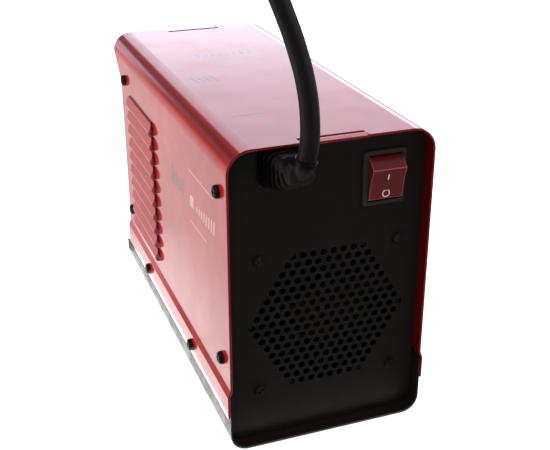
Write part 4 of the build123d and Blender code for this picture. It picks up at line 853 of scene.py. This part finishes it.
def make_dial(materials):
    """Ticks and figures round the current knob, and the white line on the knob."""
    face_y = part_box("control_fascia")[0].y
    pivot = next(Vector(j["pos_m"]) for j in frame["joints"] if j["name"] == "knob_turn")
    reach, step, figure_step = 150, 10, 50         # degrees each way from straight up
    least_amps, most_amps = 20, 200
    inner, outer, outer_major = 18.6, 19.6, 20.4   # the ticks' radii, in millimetres
    width, width_major = 0.3, 0.5
    figures_u, figures_v = 22.4 * 1.06, 22.4       # the figures stand on an oval
    ticks = []
    figures = []
    for turn in range(-reach, reach + 1, step):
        a = math.radians(turn)
        u, v = math.sin(a), math.cos(a)
        major = (turn + reach) % figure_step == 0
        end = outer_major if major else outer
        ticks.append(bar(inner * u, inner * v, end * u, end * v, width_major if major else width))
        if major:
            amps = least_amps + (turn + reach) * (most_amps - least_amps) // (2 * reach)
            place = (figures_u * u * MM, face_y, pivot.z + figures_v * v * MM)
            figures.append(on_front(lettering(str(amps), 2.6), *place))
    dial = inlay(ticks, Vector((pivot.x, face_y, pivot.z)), FRONT_RIGHT, AHEAD, 0.05, 0.2)
    new_piece("dial_print", joined([dial] + figures), materials["white_print"], "case")
    point, _ = surface_point("current_knob", pivot + Vector((0, -0.1, 7.0 * MM)), -AHEAD)
    line = inlay([bar(0, -4.6, 0, 4.4, 0.8)], point, FRONT_RIGHT, AHEAD, 0.05, 0.3)
    new_piece("knob_line", line, materials["white_print"], "knob")


def seven_segments(u, v, width, height, stroke):
    """The seven bars of a display figure whose lower left corner is at (u, v)."""
    gap = stroke * 0.65
    middle = v + height / 2
    across = [bar(u + gap, y, u + width - gap, y, stroke) for y in (v, middle, v + height)]
    upright = []
    for x in (u, u + width):
        for y in (v, middle):
            upright.append(bar(x, y + gap, x, y + height / 2 - gap, stroke))
    return across + upright


def make_front_print(materials):
    """The fascia's border line, the display's unlit figures and the polarity marks."""
    low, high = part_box("control_fascia")
    middle = (low + high) / 2
    half = (high - low) / 2 / MM
    inset, line_w, corner = 3.4, 0.5, 6.0
    outer = rounded_rectangle(half.x - inset, half.z - inset, corner)
    inner = rounded_rectangle(half.x - inset - line_w, half.z - inset - line_w, corner - line_w)
    border = inlay([(outer, inner)], Vector((middle.x, low.y, middle.z)), FRONT_RIGHT, AHEAD, 0.05, 0.2)
    new_piece("fascia_print", border, materials["grey_print"], "case")
    low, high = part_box("display_window")
    middle = (low + high) / 2
    figure_w, figure_h, stroke = 6.4, 10.8, 1.1
    figures = []
    for left in (-13.5, -3.6, 6.3):
        figures += seven_segments(left, -figure_h / 2, figure_w, figure_h, stroke)
    unlit = inlay(figures, Vector((middle.x, low.y, middle.z)), FRONT_RIGHT, AHEAD, 0.03, 0.15)
    new_piece("display_figures", unlit, materials["unlit"], "case")
    low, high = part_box("output_socket_bodies")
    face_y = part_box("front_panel")[0].y
    socket_x = (high.x - low.x) / 2 - (high.z - low.z) / 2
    label_z = high.z + 4.2 * MM
    half_sign = 2.4
    minus = bar(-half_sign, 0, half_sign, 0, stroke)
    plus = (plus_sign(half_sign, stroke), None)
    marks = [inlay([shape], Vector((x, face_y, label_z)), FRONT_RIGHT, AHEAD, 0.05, 0.2)
             for shape, x in ((plus, socket_x), (minus, -socket_x))]
    new_piece("polarity_marks", joined(marks), materials["white_print"], "case")


# ================================================================ scene
bpy.context.scene.view_settings.view_transform = "Standard"
materials = make_materials()
dress_cad_nodes(materials)
make_soft_parts(materials)
make_rocker_marks(materials)
make_case_graphics(materials)
make_dial(materials)
make_front_print(materials)
make_floor()
make_world()
make_lights()
make_camera()
